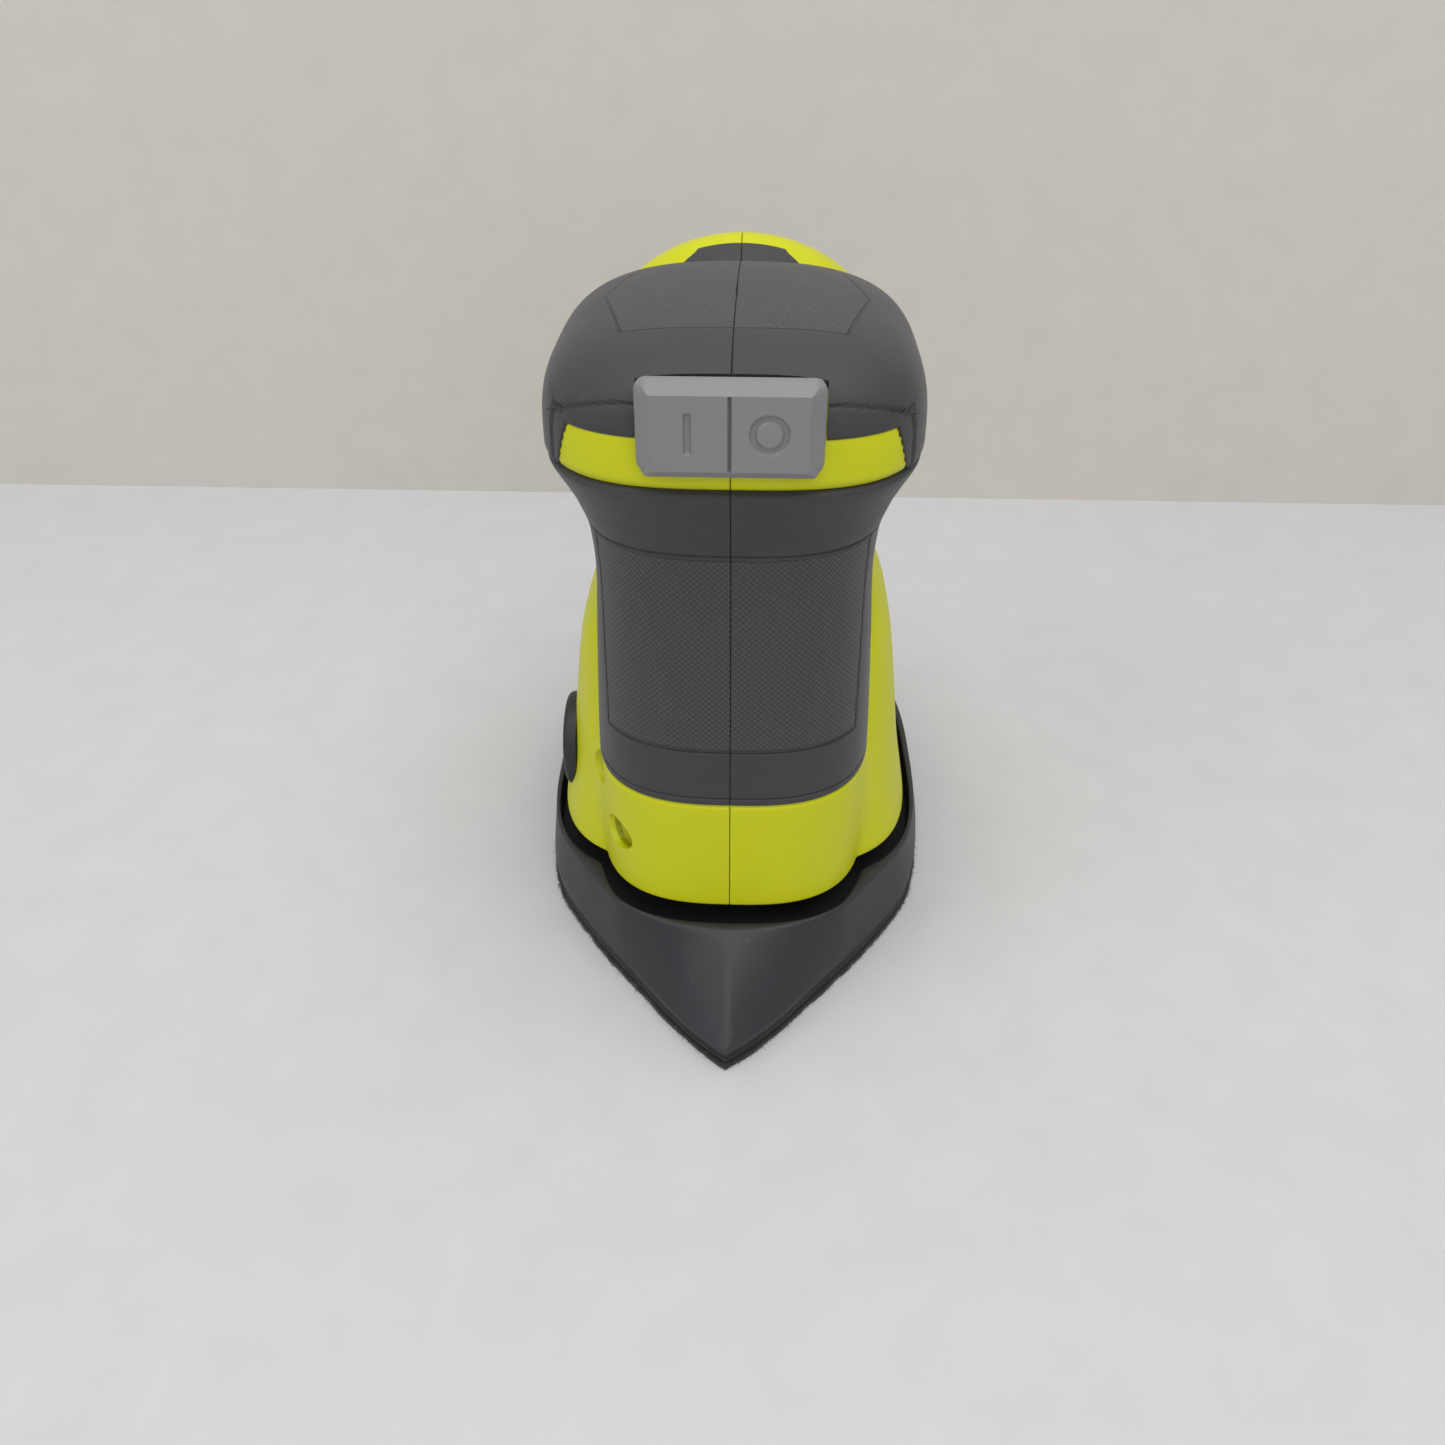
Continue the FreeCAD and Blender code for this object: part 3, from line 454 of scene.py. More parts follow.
# ---------------------------------------------------------------- finishes
class Graph:
    """A material's node tree, with short calls to add and join nodes."""

    def __init__(self, name: str) -> None:
        """Starts a material that has only its shader."""
        self.material = bpy.data.materials.new("finish_" + name)
        self.material.use_nodes = True
        self.tree = self.material.node_tree
        self.shader = self.tree.nodes["Principled BSDF"]

    def add(self, kind: str, inputs: dict | None = None, **settings: object) -> bpy.types.Node:
        """Adds a node.

        Args:
            kind: the node's type name.
            inputs: socket name or number to a value or a socket to join.
            settings: the node's own options.
        Returns:
            The node.
        """
        node = self.tree.nodes.new(kind)
        for key, value in settings.items():
            setattr(node, key, value)
        for key, value in (inputs or {}).items():
            if isinstance(value, bpy.types.NodeSocket):
                self.tree.links.new(value, node.inputs[key])
            else:
                node.inputs[key].default_value = value
        return node

    def math(self, operation: str, a: Value, b: Value = 0.0, c: Value = 0.0) -> Socket:
        """The result of a Math node."""
        return self.add("ShaderNodeMath", {0: a, 1: b, 2: c}, operation=operation).outputs[0]

    def noise(self, scale: float, detail: float = 3.0, vector: Socket | None = None) -> Socket:
        """Noise over the object's own coordinates, or over a vector.

        Args:
            scale: the noise's scale, per metre.
            detail: its number of octaves.
            vector: a socket to use for its place.
        Returns:
            The noise, from 0 to 1.
        """
        where = vector or self.add("ShaderNodeTexCoord").outputs["Object"]
        inputs = {"Vector": where, "Scale": scale, "Detail": detail}
        return self.add("ShaderNodeTexNoise", inputs).outputs["Fac"]

    def spread(self, value: Socket, low: float, high: float, to_low: float, to_high: float) -> Socket:
        """A value mapped from one range to another, clamped.

        Args:
            value: the socket to map.
            low, high: its range.
            to_low, to_high: the range it is mapped to.
        Returns:
            The mapped value.
        """
        return self.add("ShaderNodeMapRange", {"Value": value, "From Min": low, "From Max": high,
                                               "To Min": to_low, "To Max": to_high}).outputs["Result"]

    def mix(self, share: Value, a: Colour | Socket, b: Colour | Socket) -> Socket:
        """A colour between a and b.

        Args:
            share: 0 for a and 1 for b, a number or a socket.
            a, b: colours or sockets.
        Returns:
            The mixed colour.
        """
        node = self.add("ShaderNodeMix", data_type="RGBA")
        for socket, value in zip((node.inputs[0], node.inputs[6], node.inputs[7]), (share, a, b)):
            if isinstance(value, bpy.types.NodeSocket):
                self.tree.links.new(value, socket)
            else:
                socket.default_value = value
        return node.outputs[2]

    def bump(self, height: Socket, distance: float, strength: float = 1.0,
             normal: Socket | None = None) -> Socket:
        """A bumped normal. distance is the relief in metres.

        Args:
            height: the socket with the height.
            distance: the relief in metres.
            strength: share of the bump that shows.
            normal: a normal to start from.
        Returns:
            The normal.
        """
        inputs = {"Height": height, "Distance": distance, "Strength": strength}
        if normal is not None:
            inputs["Normal"] = normal
        return self.add("ShaderNodeBump", inputs).outputs["Normal"]

    def join(self, **sockets: Socket) -> None:
        """Joins sockets to the shader's inputs, underscores for spaces."""
        for key, value in sockets.items():
            self.tree.links.new(value, self.shader.inputs[key.replace("_", " ")])


def tone(red: float, green: float, blue: float, gain: float = 1.0) -> Colour:
    """A display colour from 0 to 255 as a linear colour.

    Args:
        red, green, blue: the display colour.
        gain: a factor on the linear colour.
    Returns:
        Linear red, green, blue, and 1 for alpha.
    """
    c = np.array([red, green, blue]) / 255
    c = np.where(c <= 0.04045, c / 12.92, ((c + 0.055) / 1.055) ** 2.4) * gain
    return float(c[0]), float(c[1]), float(c[2]), 1.0


class Relief(Enum):
    """How a surface is finished over its fine grain."""

    PLAIN = "plain"
    WEAVE = "weave"          # small diamonds inside a panel outline
    CELLS = "cells"          # open foam
    LAID = "laid"            # turned or brushed metal
    WIRES = "wires"          # wound copper
    ROLLER = "roller"        # rolled wall paint


@dataclass(frozen=True)
class Finish:
    """One material: colour, gloss, mottling, fine grain and relief."""

    name: str
    colour: Colour
    roughness: float = 0.5
    metallic: float = 0.0
    mottle: float = 0.05     # share that the colour varies by, over a few millimetres
    grain: float = 1500.0    # fine grain's scale, per metre
    grain_depth: float = 0.00002
    sheen: float = 0.0
    coat: float = 0.0
    specular: float = 0.5
    dust: float = 0.0        # share of pale dust in the grain's hollows
    relief: Relief = Relief.PLAIN

    def material(self) -> bpy.types.Material:
        """The material, made once."""
        if self.name not in MADE:
            MADE[self.name] = self._make()
        return MADE[self.name]

    def _make(self) -> bpy.types.Material:
        """Builds the node tree: mottled colour, uneven gloss, grain and relief.

        Returns:
            The material.
        """
        g = Graph(self.name)
        shader = g.shader
        shader.inputs["Metallic"].default_value = self.metallic
        shader.inputs["Specular IOR Level"].default_value = self.specular
        shader.inputs["Sheen Weight"].default_value = self.sheen
        shader.inputs["Coat Weight"].default_value = self.coat
        shader.inputs["Coat Roughness"].default_value = 0.25
        broad, fine = g.noise(70.0, 4.0), g.noise(self.grain, 2.0)
        share = g.spread(broad, 0.3, 0.7, 0.0, 1.0)
        dark = tuple(c * (1 - self.mottle) for c in self.colour[:3]) + (1.0,)
        light = tuple(min(1.0, c * (1 + self.mottle)) for c in self.colour[:3]) + (1.0,)
        colour = g.mix(share, dark, light)
        if self.dust:
            speck = g.spread(g.noise(420.0, 5.0), 0.66, 0.74, 0.0, self.dust)
            colour = g.mix(speck, colour, (0.55, 0.54, 0.50, 1.0))
        rough = g.math("ADD", g.spread(broad, 0.3, 0.7, self.roughness - 0.05, self.roughness + 0.05),
                       g.spread(fine, 0.3, 0.7, -0.03, 0.03))
        normal = g.bump(fine, self.grain_depth)
        colour, normal = self._relief(g, colour, normal)
        g.join(Base_Color=colour, Roughness=rough, Normal=normal)
        return g.material

    def _relief(self, g: Graph, colour: Socket, normal: Socket) -> tuple[Socket, Socket]:
        """Adds what the relief asks for to the colour and the normal.

        Args:
            g: the material's graph.
            colour: the colour so far.
            normal: the normal so far.
        Returns:
            The new colour and normal.
        """
        if self.relief is Relief.WEAVE:
            return self._weave(g, colour, normal)
        if self.relief is Relief.CELLS:
            where = g.add("ShaderNodeTexCoord").outputs["Object"]
            cells = g.add("ShaderNodeTexVoronoi", {"Vector": where, "Scale": 1600.0}).outputs["Distance"]
            # painted shade: the foam's pores are coloured near black towards their middles, and the same
            # mask sinks them
            pore_shade_and_depth = g.spread(cells, 0.1, 0.5, 0.0, 1.0)
            return g.mix(pore_shade_and_depth, tone(14, 14, 15), colour), g.bump(pore_shade_and_depth, 0.00012, 0.8, normal)
        if self.relief in (Relief.LAID, Relief.WIRES):
            where = g.add("ShaderNodeTexCoord").outputs["Object"]
            stretch = (1.0, 1.0, 40.0) if self.relief is Relief.LAID else (1.0, 1.0, 14.0)
            placed = g.add("ShaderNodeMapping", {"Vector": where, "Scale": stretch}).outputs["Vector"]
            lines = g.noise(160.0, 3.0, placed)
            depth = 0.00003 if self.relief is Relief.LAID else 0.0002
            return colour, g.bump(lines, depth, 0.7, normal)
        if self.relief is Relief.ROLLER:
            return colour, g.bump(g.noise(140.0, 6.0), 0.0004, 0.4, normal)
        return colour, normal

    @staticmethod
    def _weave(g: Graph, colour: Socket, normal: Socket) -> tuple[Socket, Socket]:
        """Diamonds inside the panel with a painted highlight on their crests, and a fine groove along its
        outline darkened with painted shade.

        The height is sin(u) * sin(v) over the piece's own UV map, faded by the panel's signed
        distance, which is an attribute in millimetres, negative inside.

        Args:
            g: the material's graph.
            colour: the colour so far.
            normal: the normal so far.
        Returns:
            The new colour and normal.
        """
        uv = g.add("ShaderNodeSeparateXYZ", {0: g.add("ShaderNodeUVMap", uv_map="UVMap").outputs[0]})
        pitch = 2 * math.pi * UV_SPAN / 1.3
        u, v = g.math("MULTIPLY", uv.outputs[0], pitch), g.math("MULTIPLY", uv.outputs[1], pitch)
        cross = g.math("MULTIPLY", g.math("SINE", u), g.math("SINE", v))
        distance = g.add("ShaderNodeAttribute", attribute_name="panel").outputs["Fac"]
        inside = g.spread(distance, -0.5, -0.2, 1.0, 0.0)
        fade = g.add("ShaderNodeAttribute", attribute_name="fade").outputs["Fac"]
        amount = g.math("MULTIPLY", inside, fade)
        height = g.math("MULTIPLY", cross, amount)
        line = g.spread(g.math("ABSOLUTE", distance), 0.12, 0.34, 1.0, 0.0)
        # painted highlight: the raised crests of the diamonds are coloured lighter, as if lit
        crest_highlight = g.math("MULTIPLY", g.spread(cross, -0.3, 1.0, 0.0, 0.22), amount)
        colour = g.mix(crest_highlight, colour, tone(122, 120, 122))
        # painted shade: the groove along the panel's outline is coloured near black
        colour = g.mix(g.math("MULTIPLY", line, 0.75), colour, tone(22, 22, 24))
        normal = g.bump(height, 0.00011, 1.0, normal)
        normal = g.bump(g.math("SUBTRACT", 1.0, line), 0.0003, 0.9, normal)
        return colour, normal


GREEN = Finish("green_plastic", tone(200, 203, 5), 0.46, mottle=0.015, grain=2600.0, grain_depth=0.000006,
               specular=0.35)
RUBBER = Finish("grip_rubber", tone(54, 53, 56), 0.6, mottle=0.05, grain=2400.0, grain_depth=0.00002,
                sheen=0.1, dust=0.02, specular=0.45, relief=Relief.WEAVE)
BLACK_NYLON = Finish("black_nylon", tone(34, 35, 37), 0.5, mottle=0.06, grain_depth=0.000012)
GREY_NYLON = Finish("grey_nylon", tone(70, 72, 76), 0.5, mottle=0.06, grain_depth=0.000012)
PLATEN_NYLON = Finish("platen_nylon", tone(42, 43, 46), 0.5, mottle=0.1, grain=1300.0, grain_depth=0.00002,
                      dust=0.02, specular=0.45)
SWITCH_GREY = Finish("switch_plastic", tone(128, 127, 128), 0.46, mottle=0.015, grain=2600.0,
                     grain_depth=0.000006)
FOAM = Finish("pad_foam", tone(30, 30, 32), 0.9, mottle=0.1, sheen=0.1, relief=Relief.CELLS)
HOOKS = Finish("hook_fabric", tone(30, 30, 33), 0.95, mottle=0.25, grain=2200.0, grain_depth=0.0004,
               sheen=0.2, dust=0.1)
FIBRE = Finish("frayed_fibre", tone(36, 36, 40), 0.9, mottle=0.4, grain=3000.0, grain_depth=0.00002,
               sheen=0.3)
POST_RUBBER = Finish("post_rubber", tone(28, 28, 29), 0.75, mottle=0.08)
STEEL = Finish("plated_steel", tone(190, 190, 192), 0.3, 1.0, grain_depth=0.000008, relief=Relief.LAID)
DARK_STEEL = Finish("stack_steel", tone(120, 118, 116), 0.45, 1.0, grain_depth=0.00002, relief=Relief.LAID)
BEARING = Finish("bearing_steel", tone(205, 206, 208), 0.18, 1.0, grain_depth=0.000004)
SCREW = Finish("screw_steel", tone(150, 148, 140), 0.35, 1.0, grain_depth=0.00001)
BRASS = Finish("brass", tone(205, 170, 96), 0.3, 1.0, grain_depth=0.00001)
COPPER = Finish("copper", tone(200, 118, 72), 0.35, 1.0, relief=Relief.WIRES)
CARBON = Finish("carbon", tone(44, 44, 46), 0.7, 0.2, mottle=0.15)
MAGNET = Finish("magnet", tone(72, 72, 74), 0.6, 0.3, mottle=0.1)
ALLOY = Finish("cast_alloy", tone(165, 166, 168), 0.5, 1.0, mottle=0.1, grain=700.0, grain_depth=0.00006)
LEAD_RED = Finish("lead_red", tone(178, 34, 30), 0.45, mottle=0.05)
LEAD_BLACK = Finish("lead_black", tone(26, 26, 27), 0.45, mottle=0.05)
FLOOR = Finish("pale_board", tone(201, 201, 204), 0.55, mottle=0.02, grain=700.0, grain_depth=0.000008,
               specular=0.35)
WALL = Finish("painted_wall", tone(207, 203, 195), 0.8, mottle=0.02, grain=900.0, relief=Relief.ROLLER)

# Finishes of the CAD nodes that stay as they are
NODE_FINISHES = {
    BLACK_NYLON: ("battery_socket", "terminal_block", "switch_body", "motor_end_cap"),
    GREY_NYLON: ("chassis", "fan", "rocker_lever"),
    BRASS: ("contact_blades", "upper_bush"), COPPER: ("windings", "commutator"), CARBON: ("brushes",),
    MAGNET: ("magnets",), STEEL: ("motor_can", "motor_shaft"), DARK_STEEL: ("armature",),
    BEARING: ("lower_bearing", "pad_bearing_inner", "pad_bearing_outer", "pad_bearing_balls"),
    SCREW: ("shell_screws", "hub_screw", "post_screws"), ALLOY: ("drive_hub", "counterweight"),
    POST_RUBBER: ("flexible_posts",), LEAD_RED: ("supply_lead_right", "motor_lead_right"),
    LEAD_BLACK: ("supply_lead_left", "motor_lead_left"),
}


# ---------------------------------------------------------------- outer form
@dataclass
class TrunkForm:
    """The upright column and the palm rest that it flares into, as sections at rising levels."""

    column: tuple = ((23.5, 30.6, -42.0, 50.0, -10.0, 2.8), (52.0, 30.4, -42.0, 50.0, -10.0, 2.8),
                     (80.0, 29.4, -41.8, 50.0, -10.0, 2.8), (98.0, 28.6, -42.0, 50.0, -10.0, 2.8),
                     (108.0, 29.2, -43.0, 50.0, -10.5, 2.85), (116.0, 31.4, -45.0, 50.0, -11.5, 2.95),
                     (123.0, 34.2, -48.0, 50.0, -13.0, 3.1), (128.0, 35.6, -50.0, 50.0, -14.0, 3.2))
    rest: tuple = ((128.0, 50.0, 3.2), (137.0, 46.0, 3.0), (141.0, 40.0, 2.8), (143.5, 34.0, 2.6),
                   (145.3, 27.0, 2.5), (146.8, 21.0, 2.4), (148.0, 15.0, 2.3), (148.7, 9.0, 2.2),
                   (149.2, 2.0, 2.2), (149.5, -5.0, 2.2))
    base: float = 128.0
    rise: float = 21.5
    half: float = 35.6
    reach: float = 36.0
    centre: float = -14.0
    power: float = 3.2
    squareness: float = 3.4

    def path(self, z: Array) -> Array:
        """Path parameter of a height: the height itself on the column, and 128 + angle over it.

        Args:
            z: heights.
        Returns:
            Path parameters, the same shape.
        """
        lift = np.clip((np.asarray(z, float) - self.base) / self.rise, 0, 1)
        return np.minimum(z, self.base) + np.arcsin(lift ** (self.squareness / 2))

    def section(self, path: Array) -> tuple[Array, ...]:
        """Height, half width, front, rear, centre and the two powers at path parameters.

        Args:
            path: path parameters, any shape.
        Returns:
            Seven arrays of the same shape.
        """
        low = np.minimum(path, self.base)
        angle = np.clip(path - self.base, 0, math.pi / 2)
        half, front, rear, centre, power = np.moveaxis(glide(self.column, low), -1, 0)
        spread = np.cos(angle) ** (2 / self.squareness)
        z = self.base + self.rise * np.sin(angle) ** (2 / self.squareness)
        rear_up, rear_power = np.moveaxis(glide(self.rest, z), -1, 0)
        up = path > self.base
        return (np.where(up, z, low), np.where(up, self.half * spread, half),
                np.where(up, self.centre - self.reach * spread, front), np.where(up, rear_up, rear),
                np.where(up, self.centre, centre), np.where(up, self.power, power),
                np.where(up, rear_power, power))

    def curves(self, path: Array) -> tuple[Array, Array, Array]:
        """x and y of each section's right half, front to rear, and its height."""
        z, half, front, rear, centre, front_power, rear_power = self.section(path)
        x, y = outline(half, front, rear, centre, front_power, rear_power)
        return x, y, z

    def points(self, path: Array, share: Array) -> Array:
        """Points at shares of each section's length.

        Args:
            path: (rows,) or (rows, cols) path parameters.
            share: (rows, cols) shares of the outline, 0 in front and 1 at the rear.
        Returns:
            (rows, cols, 3) points.
        """
        if path.ndim == 1:
            x, y, z = self.curves(path)
            length = np.hstack([np.zeros((len(x), 1)), np.cumsum(np.hypot(np.diff(x), np.diff(y)), axis=1)])
            length /= length[:, -1:]
            return np.stack([read_rows(share, length, x), read_rows(share, length, y),
                             np.broadcast_to(z[:, None], share.shape)], -1)
        flat = self.points(path.ravel(), share.reshape(-1, 1))
        return flat.reshape(path.shape + (3,))

    def share_at(self, path: Array, x: float | None = None, y: Array | float | None = None) -> Array:
        """Share of the outline's length where it reaches a given x in front, or a given y.

        Args:
            path: (rows,) path parameters.
            x: where it is reached in front, or None.
            y: where it is reached, one for all rows or one each.
        Returns:
            (rows,) shares.
        """
        px, py, _ = self.curves(path)
        length = np.hstack([np.zeros((len(px), 1)), np.cumsum(np.hypot(np.diff(px), np.diff(py)), axis=1)])
        length /= length[:, -1:]
        if x is not None:
            front = px.shape[1] // 2 + 1
            return read_rows(np.full((len(px), 1), x), px[:, :front], length[:, :front])[:, 0]
        want = np.broadcast_to(np.asarray(y, float), (len(px),))[:, None]
        rising = py + np.arange(py.shape[1]) * 1e-7
        return read_rows(want, rising, length)[:, 0]


TRUNK = TrunkForm()


@dataclass
class Zones:
    """Where the rubber lies on the shells."""

    grip_low: float = 52.0
    grip_high: float = 126.0
    band_high: float = 135.5
    side_low: float = 126.4
    front_y: float = -42.5
    side_y: float = -39.5
    palm_rear: float = 28.0
    grip_rear: tuple = ((52.0, 8.0), (96.0, 10.0), (118.0, 18.0), (126.0, 20.0))

    def rear_edge(self, z: Array) -> Array:
        """Y of the grip's rear edge at each height."""
        keys = np.asarray(self.grip_rear)
        return np.interp(z, keys[:, 0], keys[:, 1])

    def palm_low(self, y: Array) -> Array:
        """Height of the palm rubber's lower edge: over the band in front, down at the sides."""
        share = np.clip((y - self.front_y) / (self.side_y - self.front_y), 0, 1)
        return self.band_high + (self.side_low - self.band_high) * share


ZONES = Zones()


@dataclass
class Housing:
    """The bare green plastic: column, lower shoulder and band, one half on each side of X = 0."""

    shoulder: tuple = ((23.5, 42.6, -29.0, 71.0), (40.0, 39.8, -27.0, 69.5), (55.0, 38.0, -25.0, 67.0),
                       (70.0, 36.0, -21.0, 62.0), (77.0, 33.2, -17.0, 56.0), (82.0, 28.0, -11.0, 48.0),
                       (84.0, 20.0, -4.0, 38.0))
    shoulder_centre: float = 16.0
    shoulder_power: float = 3.4
    pole_y: float = 4.0      # the surface is drawn by its distance from this axis
    wall: float = 2.6
    top: float = 146.6
    edge: float = 0.7
    screws: tuple = ((-33.0, 37.0, -12.0), (-23.0, 47.5, -15.0), (52.0, 43.6, -12.0), (42.0, 66.0, -12.0),
                     (20.0, 104.0, -12.0))
    recess: float = 3.9
    port: tuple[float, float, float] = (-37.4, 0.0, 39.0)
    port_seat: float = 11.45     # radius of the dust port's seat
    port_duct: float = 8.0

    def reach(self, x: Array, y: Array, angles: Array) -> Array:
        """Distance from the axis to each outline at given angles from the front.

        Args:
            x, y: (rows, n) points of the outlines.
            angles: (cols,) angles, 0 to pi.
        Returns:
            (rows, cols) distances.
        """
        turn = np.arctan2(x, -(y - self.pole_y))
        turn[:, 0], turn[:, -1] = 0.0, math.pi
        turn = np.maximum.accumulate(turn, axis=1) + np.arange(turn.shape[1]) * 1e-9
        return read_rows(np.broadcast_to(angles, (len(x), angles.size)), turn, np.hypot(x, y - self.pole_y))

    def radius(self, path: Array, angles: Array, inset: float = 0.0) -> tuple[Array, Array]:
        """Distance of the outer surface from the axis, and its height.

        The larger of the column's and the shoulder's distance, joined by a fillet. The column drops
        under the rubber by the thickness of the rubber, with a rounded lip round it.

        Args:
            path: (rows,) path parameters of the trunk.
            angles: (cols,) angles from the front, 0 to pi.
            inset: how far inside the outer surface to be.
        Returns:
            radii and heights, (rows, cols).
        """
        x, y, z = TRUNK.curves(path)
        column = self.reach(x, y, angles)
        level = np.broadcast_to(z[:, None], column.shape)
        ahead = self.pole_y - column * np.cos(angles)
        under_grip = np.minimum(np.minimum(level - ZONES.grip_low, ZONES.grip_high + 1 - level),
                                ZONES.rear_edge(level) - ahead)
        drop = 1.4 * ease(under_grip / 0.8 + 0.1) * (level < ZONES.grip_high + 1)
        palm = level - ZONES.palm_low(ahead)
        drop = np.maximum(drop, np.where(level > ZONES.grip_high, 0.7 + 0.9 * ease(palm / 0.8 + 0.1), 0.0))
        inside_lip = 0.9 * rolled(np.abs(ZONES.grip_low - level), 1.1) * (level <= ZONES.grip_low)
        inside_lip *= ease((ZONES.grip_rear[0][1] + 1 - ahead) / 2)
        column = column - drop - inside_lip
        half, front, rear = np.moveaxis(glide(self.shoulder, np.clip(z, 23.5, 84.0)), -1, 0)
        power = np.full(len(z), self.shoulder_power)
        sx, sy = outline(half, front, rear, np.full(len(z), self.shoulder_centre), power, power)
        dome = self.reach(sx, sy, angles)
        dome = np.where(level > 83.9, column - 10, dome)
        fillet = 0.7 + 3.2 * ease((level - 23.5) / 14) * ease((ZONES.grip_low - level) / 6 + 0.2)
        return soft_max(column, dome, fillet) - inset, level

    def angles(self) -> Array:
        """Angles of the columns: about 0.6 mm apart, and close together at the two seams.

        Returns:
            Rising angles from 0 to pi.
        """
        x, y, _ = TRUNK.curves(np.array([30.0]))
        rough = np.linspace(0, math.pi, 900)
        r, _ = self.radius(np.array([30.0]), rough)
        px, py = r[0] * np.sin(rough), -r[0] * np.cos(rough)
        along = np.concatenate([[0], np.cumsum(np.hypot(np.diff(px), np.diff(py)))])
        want = stations(0.0, float(along[-1]), 0.62, (0.0, float(along[-1])), 0.09, 0.55)
        return np.interp(want, along, rough)

    def grid(self, inset: float) -> Array:
        """The right half's surface, with rolled edges at the seams and at the lower edge.

        Args:
            inset: how far inside the outer surface to be.
        Returns:
            (rows, cols, 3) points.
        """
        z = stations(23.5, 128.0, 0.62, (23.5, 52.0, 84.0), 0.12, 0.8)
        path = np.concatenate([z, TRUNK.path(np.arange(128.6, self.top, 0.55))])
        angles = self.angles()
        r, level = self.radius(path, angles, inset)
        if inset == 0.0:
            x = np.abs(r * np.sin(angles))
            r = r - rolled(x, 0.4) - rolled(level - 23.5, self.edge)
        level = level - (inset * ease((level - 120) / 20))
        x, y = r * np.sin(angles), self.pole_y - r * np.cos(angles)
        x[:, 0] = x[:, -1] = SEAM_GAP
        x = np.maximum(x, SEAM_GAP)
        grid = np.stack([x, y, level], -1)
        lid = np.stack([grid[-1] * [s, s, 1] + [SEAM_GAP * (1 - s), self.pole_y * (1 - s), 0]
                        for s in (0.6, 0.2, 0.0)])
        return np.concatenate([grid, lid])

    def wells(self) -> tuple[Array, Array]:
        """Cylinders that the screw recesses leave, out through the left side."""
        rods = []
        for y, z, floor in self.screws:
            rods.append(turned(((0.0, 0.0), (0.0, self.recess), (-60.0, self.recess), (-60.0, 0.0)),
                               0, (floor, y, z), 40))
        return merged(rods)

    def build(self) -> None:
        """Both halves: the left one has the screw recesses and the dust port's opening."""
        outer, inner = self.grid(0.0), self.grid(self.wall)
        rows, cols = outer.shape[:2]
        points = np.vstack([outer.reshape(-1, 3), inner.reshape(-1, 3)])
        faces = slab_faces(rows, cols)
        wells = cutter_from(*self.wells())
        seat, duct = self.port_seat, self.port_duct
        mouth = cutter_from(*turned(((6.0, 0.0), (6.0, duct), (0.1, duct), (0.0, seat), (-20.0, seat),
                                     (-20.0, 0.0)), 0, self.port, 64))
        Piece("housing_right", points, faces, GREEN, "housing", "green_shell", ("shell_right",)).build()
        Piece("housing_left", flip_x(points), faces, GREEN, "housing", "green_shell",
              ("shell_left",)).build(((wells, "DIFFERENCE"), (mouth, "DIFFERENCE")))
        core = self.grid(1.3)
        solid = np.vstack([core.reshape(-1, 3), (core * [0.0, 1, 1] + [SEAM_GAP, 0, 0]).reshape(-1, 3)])
        bosses = []
        for y, z, floor in self.screws[:4]:
            bosses.append(turned(((2.5, 0.0), (2.5, 5.3), (-60.0, 5.3), (-60.0, 0.0)), 0, (floor, y, z), 40))
        tool = cutter_from(flip_x(solid), faces)
        Piece("screw_wells", *merged(bosses), GREEN, "housing", "green_shell").build(
            ((tool, "INTERSECT"), (wells, "DIFFERENCE")))
        for used in (wells, mouth, tool):
            bpy.data.objects.remove(used)


